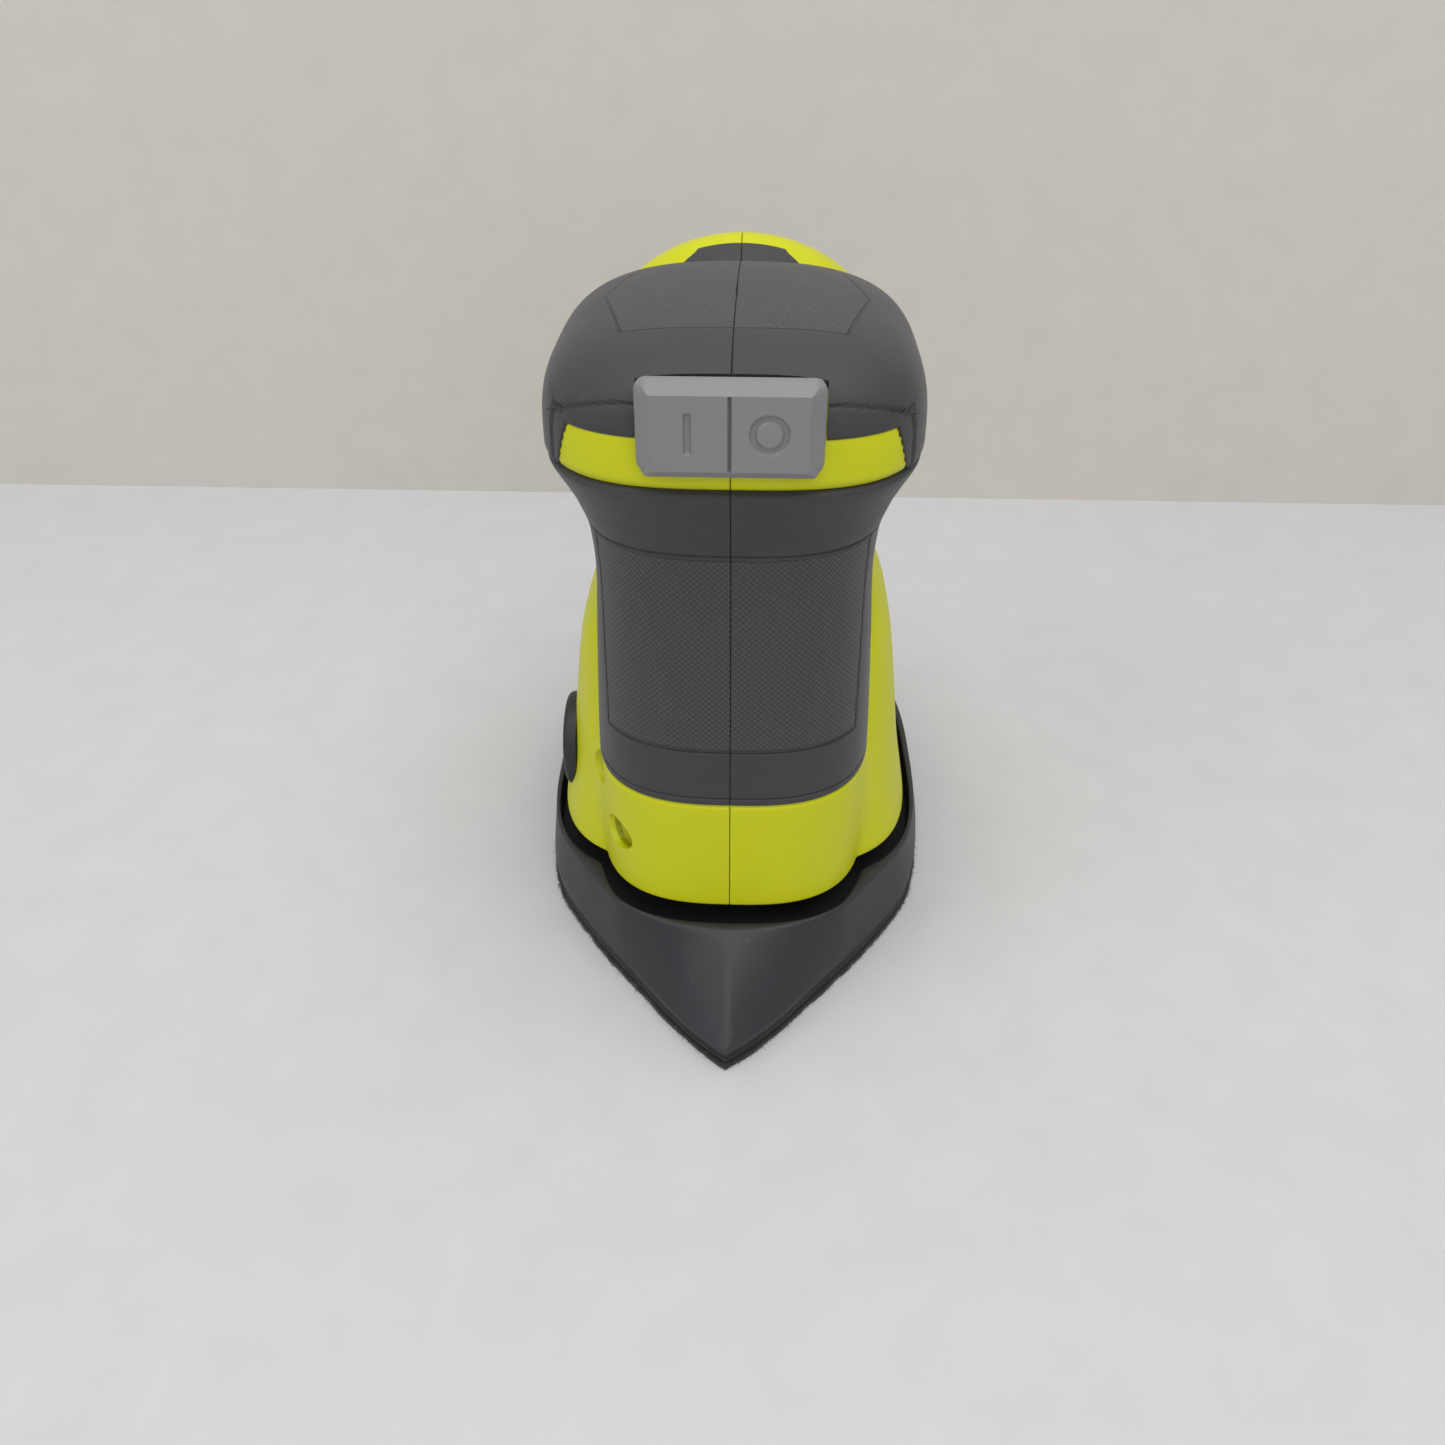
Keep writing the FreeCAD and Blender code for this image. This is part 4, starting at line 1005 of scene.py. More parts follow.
@dataclass
class Bay:
    """The round rear body that takes the battery, with its air slots and the rubber tongue on top."""

    stations: tuple = ((12.0, 25.0, 19.0, 22.0, 2.0), (18.0, 29.6, 26.0, 29.0, 2.0),
                       (24.0, 33.0, 30.4, 33.0, 2.1), (30.0, 35.4, 34.2, 35.8, 2.3),
                       (35.0, 36.0, 35.9, 37.5, 2.6), (44.0, 36.0, 34.2, 39.0, 3.0),
                       (64.0, 35.0, 29.6, 40.0, 4.0))
    axis_z: float = 113.0
    front: float = 12.0
    rear: float = 64.0
    hole: tuple[float, float, float] = (22.05, 18.05, 29.05)   # half width, up and down from the axis
    edge: float = 1.6
    tongue_front: float = 25.5
    tongue_rear: float = 31.2
    tongue_half: tuple[float, float] = (13.6, 9.6)

    def radius(self, y: Array, turn: Array) -> Array:
        """Distance from the axis at angles from the top: an ellipse above, a superellipse below.

        Args:
            y: (rows,) places along the axis.
            turn: (cols,) angles from the top.
        Returns:
            (rows, cols) distances.
        """
        half, rise, depth, power = (v[:, None] for v in np.moveaxis(glide(self.stations, y), -1, 0))
        sine, cosine = np.abs(np.sin(turn)) + 1e-9, np.cos(turn)
        top = ((sine / half) ** 2 + (np.abs(cosine) / rise) ** 2) ** -0.5
        low = ((sine / half) ** power + (np.abs(cosine) / depth) ** power) ** (-1 / power)
        return np.where(cosine > 0, top, low)

    def place(self, y: Array, r: Array, turn: Array) -> Array:
        """Points at distances and angles about the bay's axis.

        Args:
            y: (rows,) places along the axis.
            r: (rows, cols) distances.
            turn: (cols,) angles from the top.
        Returns:
            (rows, cols, 3) points.
        """
        grid = np.stack([r * np.sin(turn), np.broadcast_to(y[:, None], r.shape),
                         self.axis_z + r * np.cos(turn)], -1)
        grid[..., 0] = np.maximum(grid[..., 0], SEAM_GAP)
        grid[:, 0, 0] = grid[:, -1, 0] = SEAM_GAP
        return grid

    def build(self) -> None:
        """Both halves of the barrel, and the tongue."""
        turn = stations(0.0, math.pi, 0.022, (0.0, math.pi), 0.0025, 0.014)
        y = stations(self.front, self.rear - self.edge, 0.9)
        arc = np.linspace(0, math.pi / 2, 7)[1:]
        y = np.concatenate([y, self.rear - self.edge + self.edge * np.sin(arc)])
        drop = np.concatenate([np.zeros(len(y) - 6), self.edge * (1 - np.cos(arc))])
        r = self.radius(np.minimum(y, self.rear), turn) - drop[:, None]
        r = r - rolled(np.abs(r * np.sin(turn)), 0.4)
        outer = self.place(y, r, turn)
        half, up, down = self.hole
        sine, cosine = np.abs(np.sin(turn)) + 1e-9, np.cos(turn)
        mouth = np.minimum(half / sine, np.where(cosine > 0, up, down) / (np.abs(cosine) + 1e-9))
        depth = np.linspace(26.0, self.rear - 0.02, len(y))
        inner = self.place(depth, np.broadcast_to(mouth, (len(y), len(turn))).copy(), turn)
        points = np.vstack([outer.reshape(-1, 3), inner.reshape(-1, 3)])
        faces = slab_faces(len(y), len(turn))
        slots = []
        for k in range(4):
            base = 40.0 + 5.0 * k
            slots += [block((s * 36 - 9, base, 91.0), (s * 36 + 9, base + 2.2, 104.0)) for s in (-1, 1)]
        vents = cutter_from(*merged(slots))
        well = cutter_from(*turned(((0.0, 0.0), (0.0, 3.9), (-60.0, 3.9), (-60.0, 0.0)), 0,
                                   (-24.5, 20.0, 104.0), 40))
        Piece("battery_bay_right", points, faces, GREEN, "housing", "green_shell").build(
            ((vents, "DIFFERENCE"),))
        Piece("battery_bay_left", flip_x(points), faces, GREEN, "housing", "green_shell").build(
            ((vents, "DIFFERENCE"), (well, "DIFFERENCE")))
        bpy.data.objects.remove(vents)
        bpy.data.objects.remove(well)
        self.tongue()

    def tongue(self) -> None:
        """The palm rest's rubber running up onto the barrel: a thin patch with slanting sides."""
        v = stations(0.0, 1.0, 0.06, (0.0, 1.0), 0.01, 0.05)
        y = self.tongue_front + (self.tongue_rear - self.tongue_front) * v
        wide = self.tongue_half[0] + (self.tongue_half[1] - self.tongue_half[0]) * ease((v - 0.25) / 0.75)
        u = stations(0.0, 1.0, 0.04, (0.0, 1.0), 0.008, 0.04)
        x = wide[:, None] * u[None, :]
        half, rise = (c[:, None] for c in np.moveaxis(glide(self.stations, y), -1, 0)[:2])
        edge = np.minimum(np.minimum((1 - u)[None, :] * wide[:, None], x + 0.05),
                          ((self.tongue_rear - y))[:, None])
        top = self.axis_z + rise * np.sqrt(1 - (x / half) ** 2)
        level = np.broadcast_to(y[:, None], x.shape)

        def shell(lift: Array | float) -> Array:
            """The patch's points, lifted off the barrel."""
            return np.stack([np.maximum(x, SEAM_GAP), level, top + lift], -1)

        outer = shell(0.42 - rolled(edge, 0.4))
        points = np.vstack([outer.reshape(-1, 3), shell(-0.8).reshape(-1, 3)])
        faces = slab_faces(*x.shape)
        uv = np.vstack([np.stack([x.ravel(), level.ravel()], -1)] * 2)
        plain = np.full(len(points), 5.0)
        for side, pts in (("right", points), ("left", flip_x(points))):
            Piece("palm_tongue_" + side, pts, faces, RUBBER, "housing", "grip_rubber", uv=uv,
                  marks={"panel": plain, "fade": plain * 0}).build()


@dataclass
class ColumnGrip:
    """The rubber round the column, with its textured panel, plain collar and flared rim."""

    panel_low: float = 65.7
    panel_high: float = 111.2
    panel_x: float = 26.0
    edge_length: float = 77.0    # the rubber's usual length from the seam to its rear edge
    thickness: float = 1.5

    def build(self) -> None:
        """Right and left halves from one grid that follows the rubber's own edges."""
        z = stations(52.0, 126.0, 0.45, (52.0, 53.9, self.panel_low, self.panel_high, 126.0), 0.12, 0.7)
        path = TRUNK.path(z)
        edge = TRUNK.share_at(path, y=ZONES.rear_edge(z))
        side = TRUNK.share_at(path, x=self.panel_x)
        arc = self.edge_length
        u = stations(0.0, 1.0, 0.45 / arc, (0.0, float((side / edge).mean()), 1.0), 0.1 / arc, 0.7 / arc)
        share = edge[:, None] * u[None, :]
        grid = TRUNK.points(path, share)
        normal = surface_normals(grid)
        x, level = grid[..., 0], grid[..., 2]
        steps = np.linalg.norm(np.diff(grid, axis=1), axis=2)
        run = np.hstack([np.zeros((len(z), 1)), np.cumsum(steps, axis=1)])
        border = read_rows(side[:, None], share, run)
        to_side = run - border
        to_rear = run[:, -1:] - run
        drop = rolled(x, 0.42) + rolled(to_rear, 0.6)
        drop += rolled(level - 52.0, 0.5) + groove(level - 53.9, 0.32, 0.45)
        drop += groove(level - self.panel_high, 0.42, 0.5)
        inner = np.maximum(to_side, self.panel_low - level)
        bottom = np.where(level < self.panel_high, inner, 9.0)
        drop += groove(bottom, 0.42, 0.5)
        flare = 0.35 * ease((level - 121.0) / 4.4)
        drop += rolled(126.0 - level, 0.7) - flare
        outer = grid - normal * drop[..., None]
        back = grid - normal * self.thickness
        for surface in (outer, back):
            surface[:, 0, 0] = SEAM_GAP
            surface[..., 0] = np.maximum(surface[..., 0], SEAM_GAP)
        points = np.vstack([outer.reshape(-1, 3), back.reshape(-1, 3)])
        panel = np.maximum(inner, level - self.panel_high) + 0.35
        uv = np.stack([run.ravel(), level.ravel()], -1)
        fade = np.ones(panel.shape)
        marks = {"panel": np.tile(panel.ravel(), 2), "fade": np.tile(fade.ravel(), 2)}
        marks["panel"] = np.where(np.abs(marks["panel"]) < 0.36, 0.36, marks["panel"])
        faces = slab_faces(*outer.shape[:2])
        for name, pts in (("right", points), ("left", flip_x(points))):
            Piece("column_grip_" + name, pts, faces, RUBBER, "housing", "grip_rubber",
                  ("grip_" + name,), np.vstack([uv, uv]), marks).build()


@dataclass
class PalmRest:
    """The rubber dome over the head: a hexagonal woven panel on top and a grooved rim over the band."""

    hexagon: tuple = ((0.0, -31.5), (19.6, -31.5), (24.8, -9.0), (19.0, 21.0), (0.0, 21.0))
    rim_z: float = 141.0
    rim_end: float = -38.5
    crown_z: float = 140.0       # the woven panel lies above this height
    edge_length: float = 118.0   # the lower edge's usual length from the seam to its rear end
    thickness: float = 1.7
    pocket: tuple[float, float, float] = (16.1, 130.2, 147.8)   # the switch's opening

    def hex_distance(self, x: Array, y: Array) -> Array:
        """Signed distance to the hexagon's sides, negative inside: the largest of its edges' distances.

        Args:
            x, y: places seen from above.
        Returns:
            Distances in millimetres, the same shape.
        """
        far = np.full(x.shape, -99.0)
        for (ax, ay), (bx, by) in zip(self.hexagon[:-2], self.hexagon[1:-1]):
            length = math.hypot(bx - ax, by - ay)
            far = np.maximum(far, ((x - ax) * (by - ay) - (y - ay) * (bx - ax)) / length)
        return far

    def build(self) -> None:
        """Right and left halves. Each column of the grid starts at the rubber's own lower edge."""
        level = np.full(3, 132.0)
        rear = float(TRUNK.share_at(TRUNK.path(level), y=ZONES.palm_rear)[0])
        arc = self.edge_length
        tips = TRUNK.share_at(TRUNK.path(level[:2]), y=np.array([ZONES.front_y, ZONES.side_y])) / rear
        u = stations(0.0, 1.0, 0.5 / arc, (0.0, float(tips[0]), float(tips.mean()), float(tips[1]), 1.0),
                     0.1 / arc, 0.6 / arc)
        share0 = u * rear
        start_y = TRUNK.points(TRUNK.path(level), np.tile(share0, (3, 1)))[0, :, 1]
        low = ZONES.palm_low(start_y)
        angle = np.linspace(0, math.pi / 2, 900)
        power = 2 / TRUNK.squareness
        px, pz = TRUNK.reach * np.cos(angle) ** power, TRUNK.rise * np.sin(angle) ** power
        along = np.concatenate([[0], np.cumsum(np.hypot(np.diff(px), np.diff(pz)))])
        begin = TRUNK.path(low)
        over = begin - TRUNK.base
        start = np.where(over < 0, over, np.interp(over, angle, along))
        rows = stations(0.0, 1.0, 0.0105, (0.0,), 0.0025, 0.016)
        where = start + (along[-1] - start) * rows[:, None]
        path = TRUNK.base + np.where(where < 0, where, np.interp(where, along, angle))
        flat = path.ravel()
        z_here = TRUNK.section(flat)[0]
        end = TRUNK.share_at(flat, y=ZONES.palm_rear)
        end = (end + (1 - end) * ease((z_here - 137.0) / 6.0)).reshape(path.shape)
        share = u[None, :] * end
        grid = TRUNK.points(path, share)
        normal = surface_normals(grid)
        normal[-3:] = (0.0, 0.0, 1.0)
        x, y, z = np.moveaxis(grid, -1, 0)
        steps = np.linalg.norm(np.diff(grid, axis=0), axis=2)
        climb = np.vstack([np.zeros((1, grid.shape[1])), np.cumsum(steps, axis=0)])
        drop = rolled(x, 0.42) + rolled(climb, 0.9)
        drop += rolled(np.where(z < 137.5, ZONES.palm_rear - y, 9.0), 0.6)
        line = self.rim_z - 3.2 * np.clip((x - 16.0) / 14.0, 0, 1) ** 2
        around = np.maximum(z - line, y - self.rim_end)
        drop += groove(around, 0.45, 0.55)
        drop += 0.35 * ease(-around / 0.3)
        outer = grid - normal * drop[..., None]
        back = grid - normal * self.thickness
        for surface in (outer, back):
            surface[:, 0, 0] = SEAM_GAP
            surface[..., 0] = np.maximum(surface[..., 0], SEAM_GAP)
        points = np.vstack([outer.reshape(-1, 3), back.reshape(-1, 3)])
        panel = np.where(z > self.crown_z, self.hex_distance(x, y), 9.0)
        fade = ease((12.0 - y) / 26.0) * (z > self.crown_z)
        uv = np.stack([x.ravel(), y.ravel()], -1)
        marks = {"panel": np.tile(panel.ravel(), 2), "fade": np.tile(fade.ravel(), 2)}
        faces = slab_faces(*outer.shape[:2])
        half, bottom, top = self.pocket
        pocket = cutter_from(*block((-half, -70.0, bottom - 8), (half, -43.9, top)))
        for name, pts in (("right", points), ("left", flip_x(points))):
            Piece("palm_cap_" + name, pts, faces, RUBBER, "housing", "grip_rubber",
                  ("palm_rest_" + name,), np.vstack([uv, uv]), marks).build(((pocket, "DIFFERENCE"),))
        bpy.data.objects.remove(pocket)


@dataclass
class Rocker:
    """The grey rocker cap: a bevelled block with a centre groove, a bar and a ring."""

    half: float = 15.7
    low: float = 130.6
    high: float = 146.9
    back_high: float = 145.2
    face: float = -54.0
    back: float = -46.0
    corner: float = 2.2

    def relief(self, x: Array, z: Array) -> Array:
        """How far the face is set back: three bevels, the grooves and the rounded edges.

        Args:
            x, z: places on the face.
        Returns:
            Depths in millimetres, the same shape.
        """
        side, top, low = self.half - np.abs(x), self.high - z, z - self.low
        bevel = np.maximum(3.0 * np.clip(1 - side / 2.6, 0, 1), 3.4 * np.clip(1 - top / 1.9, 0, 1))
        bevel = np.maximum(bevel, 1.3 * np.clip(1 - low / 1.5, 0, 1))
        mid = (self.low + self.high) / 2 - 0.2
        cut = groove(x, 0.42, 0.8) * ease((top - 1.9) / 0.4) * ease((low - 1.2) / 0.4)
        bar = np.maximum(np.abs(x + 6.9) - 0.55, np.abs(z - mid) - 3.4)
        cut = np.maximum(cut, 0.6 * ease(0.5 - bar / 0.34))
        ring = np.abs(np.hypot(x - 6.5, z - mid) - 2.75) - 0.5
        cut = np.maximum(cut, 0.6 * ease(0.5 - ring / 0.34))
        edge = np.minimum(np.minimum(side, top), low)
        return bevel + cut + rolled(edge, 0.35)

    def build(self) -> None:
        """The cap's front grid, its flat back and the walls between them."""
        x = stations(-self.half, self.half, 0.22, (-self.half, -13.1, 0.0, 13.1, self.half), 0.09, 0.5)
        z = stations(self.low, self.high, 0.2, (self.low, 132.5, 145.0, self.high), 0.09, 0.5)
        grid_x, grid_z = np.meshgrid(x, z)
        mid_z = (self.low + self.high) / 2
        tall = (self.high - self.low) / 2
        dx = np.maximum(np.abs(grid_x) - (self.half - self.corner), 0)
        dz = np.maximum(np.abs(grid_z - mid_z) - (tall - self.corner), 0)
        length = np.hypot(dx, dz)
        square = np.maximum(dx, dz)
        scale = np.where(length > 1e-9, square / np.maximum(length, 1e-9), 1.0)
        px = np.sign(grid_x) * (np.abs(grid_x) - dx + dx * scale)
        pz = mid_z + np.sign(grid_z - mid_z) * (np.abs(grid_z - mid_z) - dz + dz * scale)
        y = self.face + self.relief(grid_x, grid_z)
        outer = np.stack([px, y, pz], -1)
        back = np.stack([px * 0.96, np.full(px.shape, self.back),
                         np.minimum(mid_z + (pz - mid_z) * 0.98, self.back_high)], -1)
        points = np.vstack([outer.reshape(-1, 3), back.reshape(-1, 3)])
        Piece("rocker_cap", points, slab_faces(*px.shape), SWITCH_GREY, "switch", "switch_grey",
              ("switch_cap",), sharp=42.0).build()


@dataclass
class Pad:
    """Platen, foam cushion and hook face, drawn by their distance from one upright axis."""

    edge: tuple = ((0.0, -69.0), (9.6, -60.6), (19.8, -48.4), (28.4, -38.0), (36.0, -27.6), (43.4, -15.0),
                   (47.4, 2.0), (49.0, 24.0), (47.6, 46.0), (43.0, 62.0), (33.0, 71.8), (0.0, 76.0))
    pole_y: float = 4.0
    mean_reach: float = 47.0     # the outline's usual distance from the axis
    count: int = 240
    hook_top: float = 1.4
    cushion_top: float = 4.6
    edge_top: float = 6.2
    rim_top: float = 22.0
    rim_z: float = 21.4
    floor_z: float = 14.6
    boss: float = 16.0           # radius of the floor's middle ring
    holes: tuple = ((0.0, 50.0), (13.0, -42.0), (-13.0, -42.0), (27.0, -17.0), (-27.0, -17.0), (33.0, 8.0),
                    (-33.0, 8.0), (33.0, 50.0), (-33.0, 50.0))

    def turns(self) -> Array:
        """Angles from the point, right round, closer together near the point."""
        u = np.linspace(0, 1, self.count, endpoint=False)
        return 2 * math.pi * (u - 0.09 * np.sin(2 * math.pi * u) / math.pi)

    def reach(self, x: Array, y: Array, turn: Array) -> Array:
        """Distance of a right-hand outline from the axis at angles right round.

        Args:
            x, y: (n,) points of the outline, from the point to the heel.
            turn: angles right round.
        Returns:
            One distance for each angle.
        """
        a = np.arctan2(x, -(y - self.pole_y))
        a[0], a[-1] = 0.0, math.pi
        folded = np.where(turn > math.pi, 2 * math.pi - turn, turn)
        return np.interp(folded, a, np.hypot(x, y - self.pole_y))

    def pad_radius(self, turn: Array) -> Array:
        """The pad's outline: a smooth curve through its edge points."""
        curve = spline(self.edge, (30.0, 22.0), (-34.0, 0.0), 1600)
        return self.reach(curve[:, 0], curve[:, 1], turn)

    def rings(self, rows: list[tuple[Array, Array | float]], turn: Array) -> tuple[Array, Array]:
        """A closed body from rows of (radius, height), which start and end on the axis.

        Args:
            rows: radius and height at each angle, row by row.
            turn: the angles.
        Returns:
            points and faces.
        """
        grid = np.stack([np.stack([r * np.sin(turn), self.pole_y - r * np.cos(turn),
                                   np.broadcast_to(z, turn.shape)], -1) for r, z in rows])
        return grid.reshape(-1, 3), grid_faces(len(rows), len(turn), wrap=True)

    def build(self, housing: Housing) -> None:
        """All three layers and the frayed fibres.

        Args:
            housing: its lower outline sets the platen's inner edge.
        """
        turn = self.turns()
        pad = self.pad_radius(turn)
        self.platen(turn, pad, housing)
        drills = cutter_from(*merged([turned(((-5.0, 0.0), (-5.0, 4.0), (14.0, 4.0), (14.0, 0.0)), 2,
                                             (x, y, 0.0), 32) for x, y in self.holes]))
        mean_reach = self.mean_reach
        zero = turn * 0

        def share(inset: float) -> Array:
            """The pad's outline, drawn in evenly."""
            return pad * (1 - inset / mean_reach)

        low, high = self.hook_top, self.cushion_top
        middle = (low + high) / 2
        rows = [(zero, low), (share(4.0), low), (share(1.3), low), (share(0.95), low + 0.15),
                (share(0.75), low + 0.5), (share(0.7), middle - 0.4), (share(0.8), middle - 0.1),
                (share(0.95), middle), (share(0.8), middle + 0.1), (share(0.7), middle + 0.4),
                (share(0.75), high - 0.5), (share(0.95), high - 0.15), (share(1.3), high),
                (share(4.0), high), (zero, high)]
        cushion = Piece("foam_cushion", *self.rings(rows, turn), FOAM, "pad", "pad_foam",
                        ("cushion",)).build(((drills, "DIFFERENCE"),))
        rng = np.random.default_rng(7)
        rough = 0.26 * np.convolve(np.tile(rng.normal(size=self.count), 3), [0.3, 0.4, 0.3], "same")
        rough = rough[self.count:2 * self.count]

        def sheet(inset: float) -> Array:
            """The same outline with the hook sheet's uneven edge."""
            return pad * (1 - (inset + rough) / mean_reach)

        rows = [(zero, 0.0), (share(5.0), 0.0), (sheet(0.55), 0.05), (sheet(0.25), 0.35), (sheet(0.2), 1.0),
                (sheet(0.35), self.hook_top - 0.1), (share(5.0), self.hook_top), (zero, self.hook_top)]
        Piece("hook_sheet", *self.rings(rows, turn), HOOKS, "pad", "hook_fabric",
              ("hook_face",)).build(((drills, "DIFFERENCE"),))
        bpy.data.objects.remove(drills)
        self.fray(rng)

    def platen(self, turn: Array, pad: Array, housing: Housing) -> None:
        """The moulded platen: a sloping skirt, a rim that follows the housing, and a sunk floor.

        Args:
            turn: the angles.
            pad: the pad's distance from the axis at each.
            housing: its lower outline sets the sunk floor's edge.
        """
        folded = np.where(turn > math.pi, 2 * math.pi - turn, turn)
        order = np.argsort(folded)
        low = np.empty_like(turn)
        low[order] = housing.radius(np.array([24.2]), folded[order])[0][0]
        gap = 1.9 + 1.3 * ease((0.75 - folded) / 0.25)
        moat = np.minimum(low + gap, pad - 2.4)
        one = np.ones(1)
        bx, by = outline(45.6 * one, -46.8 * one, 73.4 * one, 12.0 * one, 2.25 * one, 3.6 * one)
        blunt = self.reach(bx[0], by[0], turn)
        base, rise = self.edge_top, self.rim_top - self.edge_top
        crest = pad + (blunt - pad) * (self.rim_z - base) / rise
        crest_r = np.minimum(np.maximum(crest, moat + 0.7), pad - 1.5)
        crest_z = np.full_like(turn, self.rim_z)

        def slope(s: float) -> tuple[Array, Array]:
            """Radius and height at a share of the way up the skirt."""
            return pad - 0.35 + (crest_r - pad + 0.35) * s, base + (crest_z - base) * s

        spine = 0.5 * np.exp(-(folded / 0.16) ** 2)
        under = self.cushion_top + 0.02
        rows = [(turn * 0, under), (pad - 1.2, under), (pad - 0.55, under + 0.08), (pad - 0.4, under + 0.35),
                (pad - 0.4, base - 0.35), (pad - 0.45, base - 0.12)]
        for s in (0.0, 0.03, 0.08, 0.16, 0.28, 0.4, 0.52, 0.64, 0.76, 0.86, 0.93):
            r, z = slope(s)
            rows.append((r, z + spine * math.sin(math.pi * s)))
        rows += [(slope(0.97)[0], slope(0.97)[1] - 0.06), (crest_r - 0.12, crest_z - 0.12),
                 (np.maximum(crest_r - 0.4, moat + 0.25), crest_z), (moat + 0.18, crest_z),
                 (moat + 0.03, crest_z - 0.12), (moat, crest_z - 0.35), (moat - 0.1, self.floor_z + 0.4),
                 (moat - 0.6, self.floor_z), (np.full_like(turn, self.boss), self.floor_z),
                 (turn * 0, self.floor_z)]
        Piece("platen_cover", *self.rings(rows, turn), PLATEN_NYLON, "pad", "platen_nylon",
              ("platen",), sharp=50.0).build()

    def fray(self, rng: np.random.Generator) -> None:
        """Frayed fibres along the hook face's edge: short tapering three-sided hairs, each bent once.

        Args:
            rng: the seeded source of every random number here.
        """
        count = 3600
        at = rng.uniform(0, 2 * math.pi, count)
        r = self.pad_radius(at) - 0.5
        base = np.stack([r * np.sin(at), self.pole_y - r * np.cos(at),
                         rng.uniform(0.2, self.hook_top - 0.15, count)], -1)
        swing = at + rng.normal(0, 0.7, count)
        lean = np.stack([np.sin(swing), -np.cos(swing), rng.normal(-0.1, 0.35, count)], -1)
        length = rng.gamma(2.2, 0.15, count).clip(0.1, 0.8) + 0.25
        bend = rng.normal(0, 0.3, (count, 3)) * length[:, None]
        steps = np.array([0.0, 0.35, 0.7, 1.0])
        middle = (base[:, None] + lean[:, None] * (steps * length[:, None])[..., None]
                  + bend[:, None] * (steps ** 2)[None, :, None])
        middle[..., 2] = np.maximum(middle[..., 2], 0.06)
        thick = np.array([0.045, 0.04, 0.03, 0.01])
        side = np.cross(lean, (0.0, 0.0, 1.0))
        side /= np.linalg.norm(side, axis=1, keepdims=True)
        up = np.cross(side, lean)
        a = np.arange(3) * 2 * math.pi / 3
        ring = side[:, None] * np.cos(a)[None, :, None] + up[:, None] * np.sin(a)[None, :, None]
        points = middle[:, :, None] + ring[:, None] * thick[None, :, None, None]
        one = grid_faces(4, 3, wrap=True)
        faces = (one[None] + (np.arange(count) * 12)[:, None, None]).reshape(-1, 4)
        points[..., 2] = np.maximum(points[..., 2], 0.02)
        Piece("hook_fringe", points.reshape(-1, 3), faces, FIBRE, "pad", "hook_fabric", sharp=80.0).build()


@dataclass
class DustPort:
    """The round dust outlet on the left: a collar with a rounded lip, a ribbed bore and a neck."""

    outer: float = 11.3
    bore: float = 8.0
    rib: float = 0.3             # height of the ribs in the bore
    inner_x: float = -33.0
    step_x: float = -37.5
    lip_x: float = -40.7
    height: float = 39.0

    def build(self) -> None:
        """Turns the collar about its own axis."""
        lip, edge = self.lip_x, 1.3
        arc = np.linspace(0, math.pi / 2, 5)
        rounded = [(lip + edge - edge * math.sin(a), self.outer - edge + edge * math.cos(a)) for a in arc]
        ribs, crest = [], self.bore - self.rib
        for k in range(3):
            x = lip + 1.6 + 2.2 * k
            ribs += [(x, self.bore), (x + 0.15, crest), (x + 0.65, crest), (x + 0.8, self.bore)]
        profile = ([(self.inner_x, 9.9), (self.step_x, 9.9), (self.step_x, self.outer)] + rounded
                   + [(lip, self.bore + 0.6), (lip + 0.25, self.bore + 0.1)] + ribs
                   + [(self.inner_x, self.bore)])
        points, faces = turned(tuple(profile), 0, (0.0, 0.0, self.height), 72)
        Piece("dust_collar", points, faces, BLACK_NYLON, "housing", "black_nylon", ("dust_port",)).build()


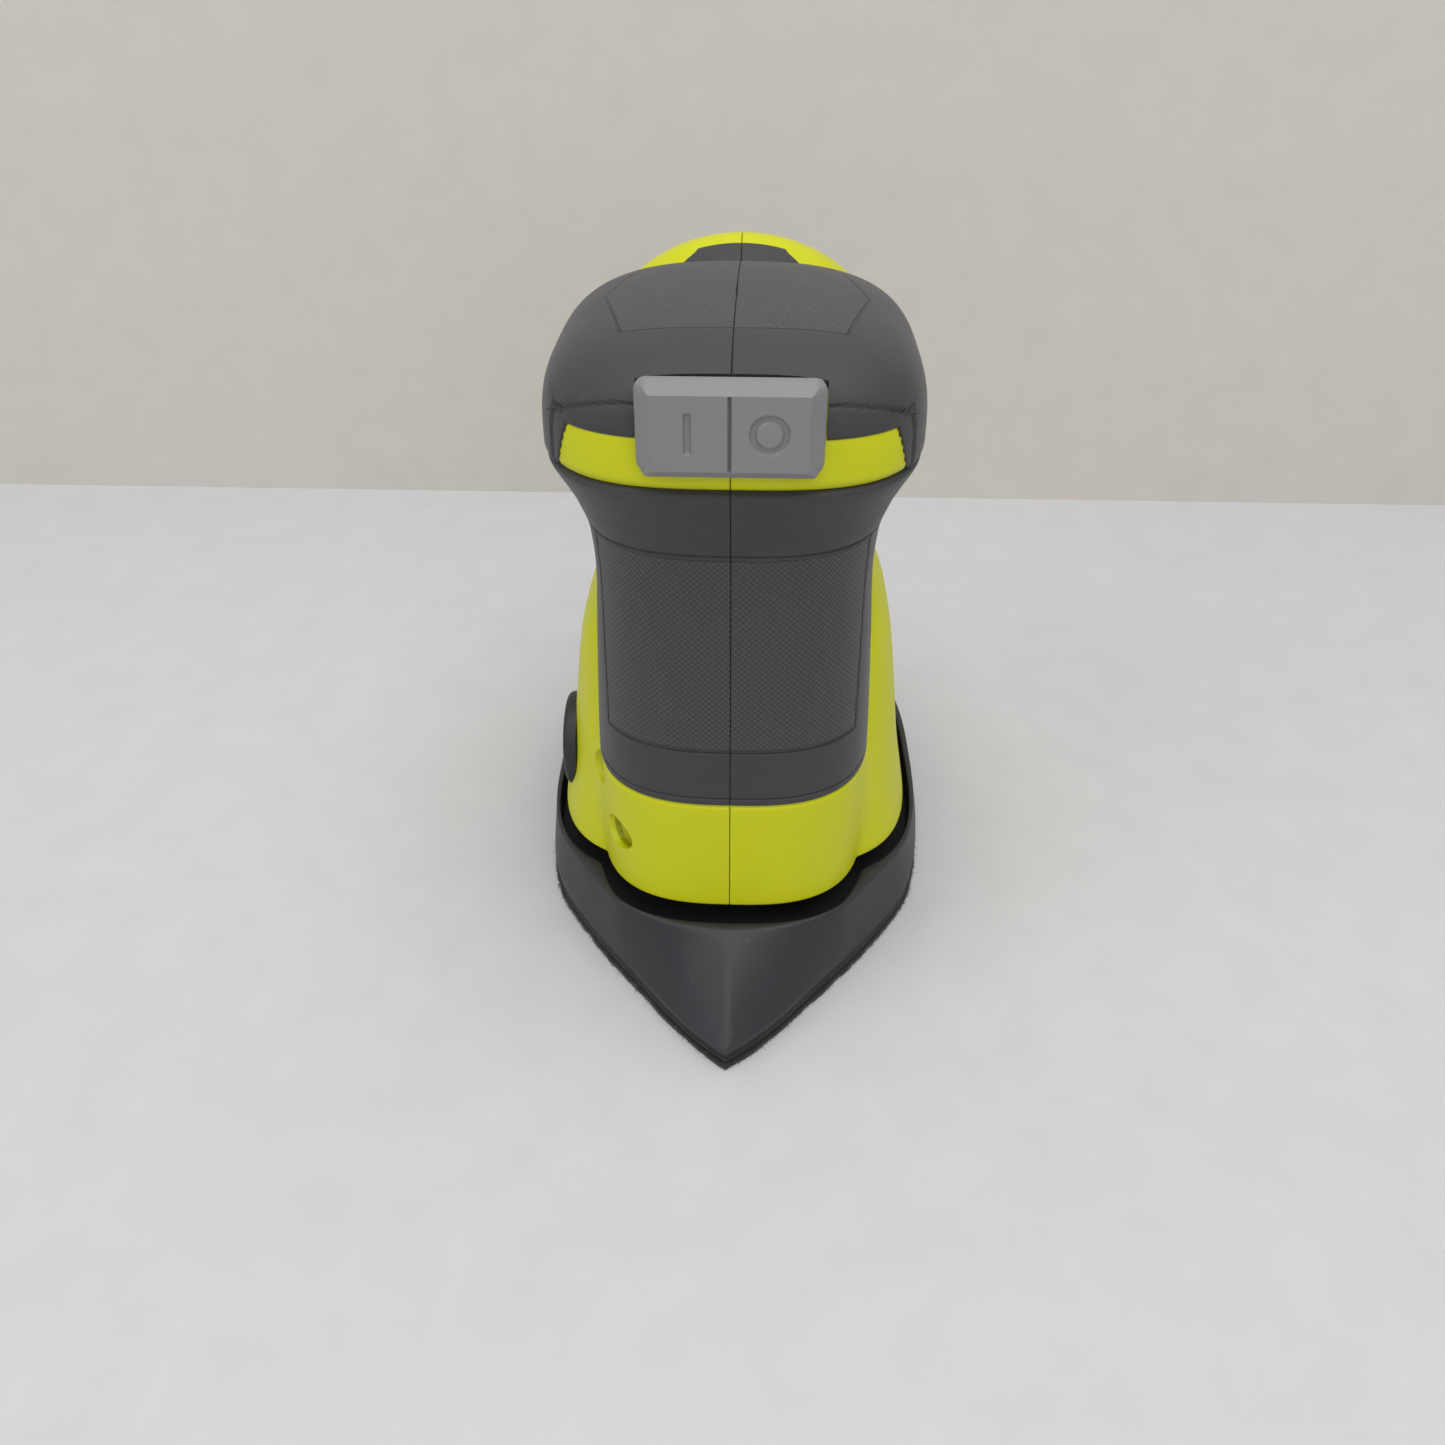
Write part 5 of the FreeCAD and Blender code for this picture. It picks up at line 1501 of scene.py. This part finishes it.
# ---------------------------------------------------------------- stage
@dataclass
class Stage:
    """Pale board, painted wall behind it, soft lights and the camera."""

    wall_y: float = 0.229
    camera_at: tuple[float, float, float] = (0.0055, -0.241, 0.213)
    tilt: float = 35.0
    swing: float = 2.03
    lens: float = 30.24

    def sheet(self, name: str, corners: list[tuple[float, float, float]], finish: Finish) -> None:
        """A flat sheet of the stage.

        Args:
            name: the object's name.
            corners: its four corners in metres.
            finish: its material.
        """
        mesh = bpy.data.meshes.new(name)
        mesh.from_pydata(corners, [], [(0, 1, 2, 3)])
        piece = bpy.data.objects.new(name, mesh)
        bpy.context.scene.collection.objects.link(piece)
        mesh.materials.append(finish.material())

    def light(self, name: str, place: tuple[float, float, float], aim: tuple[float, float, float],
              size: float, power: float, colour: tuple[float, float, float]) -> None:
        """A square soft light at a place, facing a point.

        Args:
            name: the light's name.
            place: where it is, in metres.
            aim: the point it faces.
            size: its side.
            power: its watts.
            colour: its linear colour.
        """
        lamp = bpy.data.lights.new(name, "AREA")
        lamp.size, lamp.energy, lamp.color = size, power, colour
        holder = bpy.data.objects.new(name, lamp)
        direction = np.array(aim) - np.array(place)
        flat = math.hypot(direction[0], direction[1])
        holder.location = place
        holder.rotation_euler = (math.atan2(flat, -direction[2]), 0.0,
                                 math.atan2(direction[1], direction[0]) - math.pi / 2)
        bpy.context.scene.collection.objects.link(holder)

    def build(self) -> None:
        """Floor, wall, lights, surrounding light and camera."""
        y = self.wall_y
        self.sheet("floor", [(-2.0, -2.0, 0.0), (2.0, -2.0, 0.0), (2.0, y, 0.0), (-2.0, y, 0.0)], FLOOR)
        self.sheet("wall", [(-2.0, y, 0.0), (2.0, y, 0.0), (2.0, y, 1.6), (-2.0, y, 1.6)], WALL)
        self.light("overhead", (0.15, -0.35, 1.5), (0.0, 0.0, 0.0), 1.3, 16.0, (1.0, 0.99, 0.97))
        self.light("front", (0.25, -1.3, 0.6), (0.0, 0.0, 0.1), 1.0, 3.2, (1.0, 0.99, 0.97))
        self.light("side", (-1.1, -0.6, 1.0), (0.0, 0.0, 0.05), 0.9, 4.0, (0.96, 0.98, 1.0))
        world = bpy.data.worlds.new("room")
        world.use_nodes = True
        world.node_tree.nodes["Background"].inputs["Color"].default_value = (0.93, 0.95, 1.0, 1.0)
        world.node_tree.nodes["Background"].inputs["Strength"].default_value = 0.42
        bpy.context.scene.world = world
        bpy.context.scene.view_settings.view_transform = "Standard"
        eye = bpy.data.cameras.new("camera")
        eye.lens, eye.sensor_width, eye.sensor_fit = self.lens, 36.0, "HORIZONTAL"
        eye.clip_start = 0.01
        holder = bpy.data.objects.new("camera", eye)
        holder.location = self.camera_at
        holder.rotation_euler = (math.radians(90 - self.tilt), 0.0, math.radians(self.swing))
        bpy.context.scene.collection.objects.link(holder)
        bpy.context.scene.camera = holder


def dress_nodes() -> None:
    """Gives each CAD node that still shows its own material."""
    for finish, names in NODE_FINISHES.items():
        for name in names:
            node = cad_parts[name]
            for place in node.material_slots:
                place.material = finish.material()
            LOG.info("%s: %s", name, finish.name)


def main() -> None:
    """Builds the stage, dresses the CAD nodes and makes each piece."""
    logging.basicConfig(level=logging.INFO, format="%(message)s")
    Stage().build()
    dress_nodes()
    housing = Housing()
    housing.build()
    Bay().build()
    ColumnGrip().build()
    PalmRest().build()
    Rocker().build()
    Pad().build(housing)
    DustPort().build()


if __name__ == "__main__":
    main()
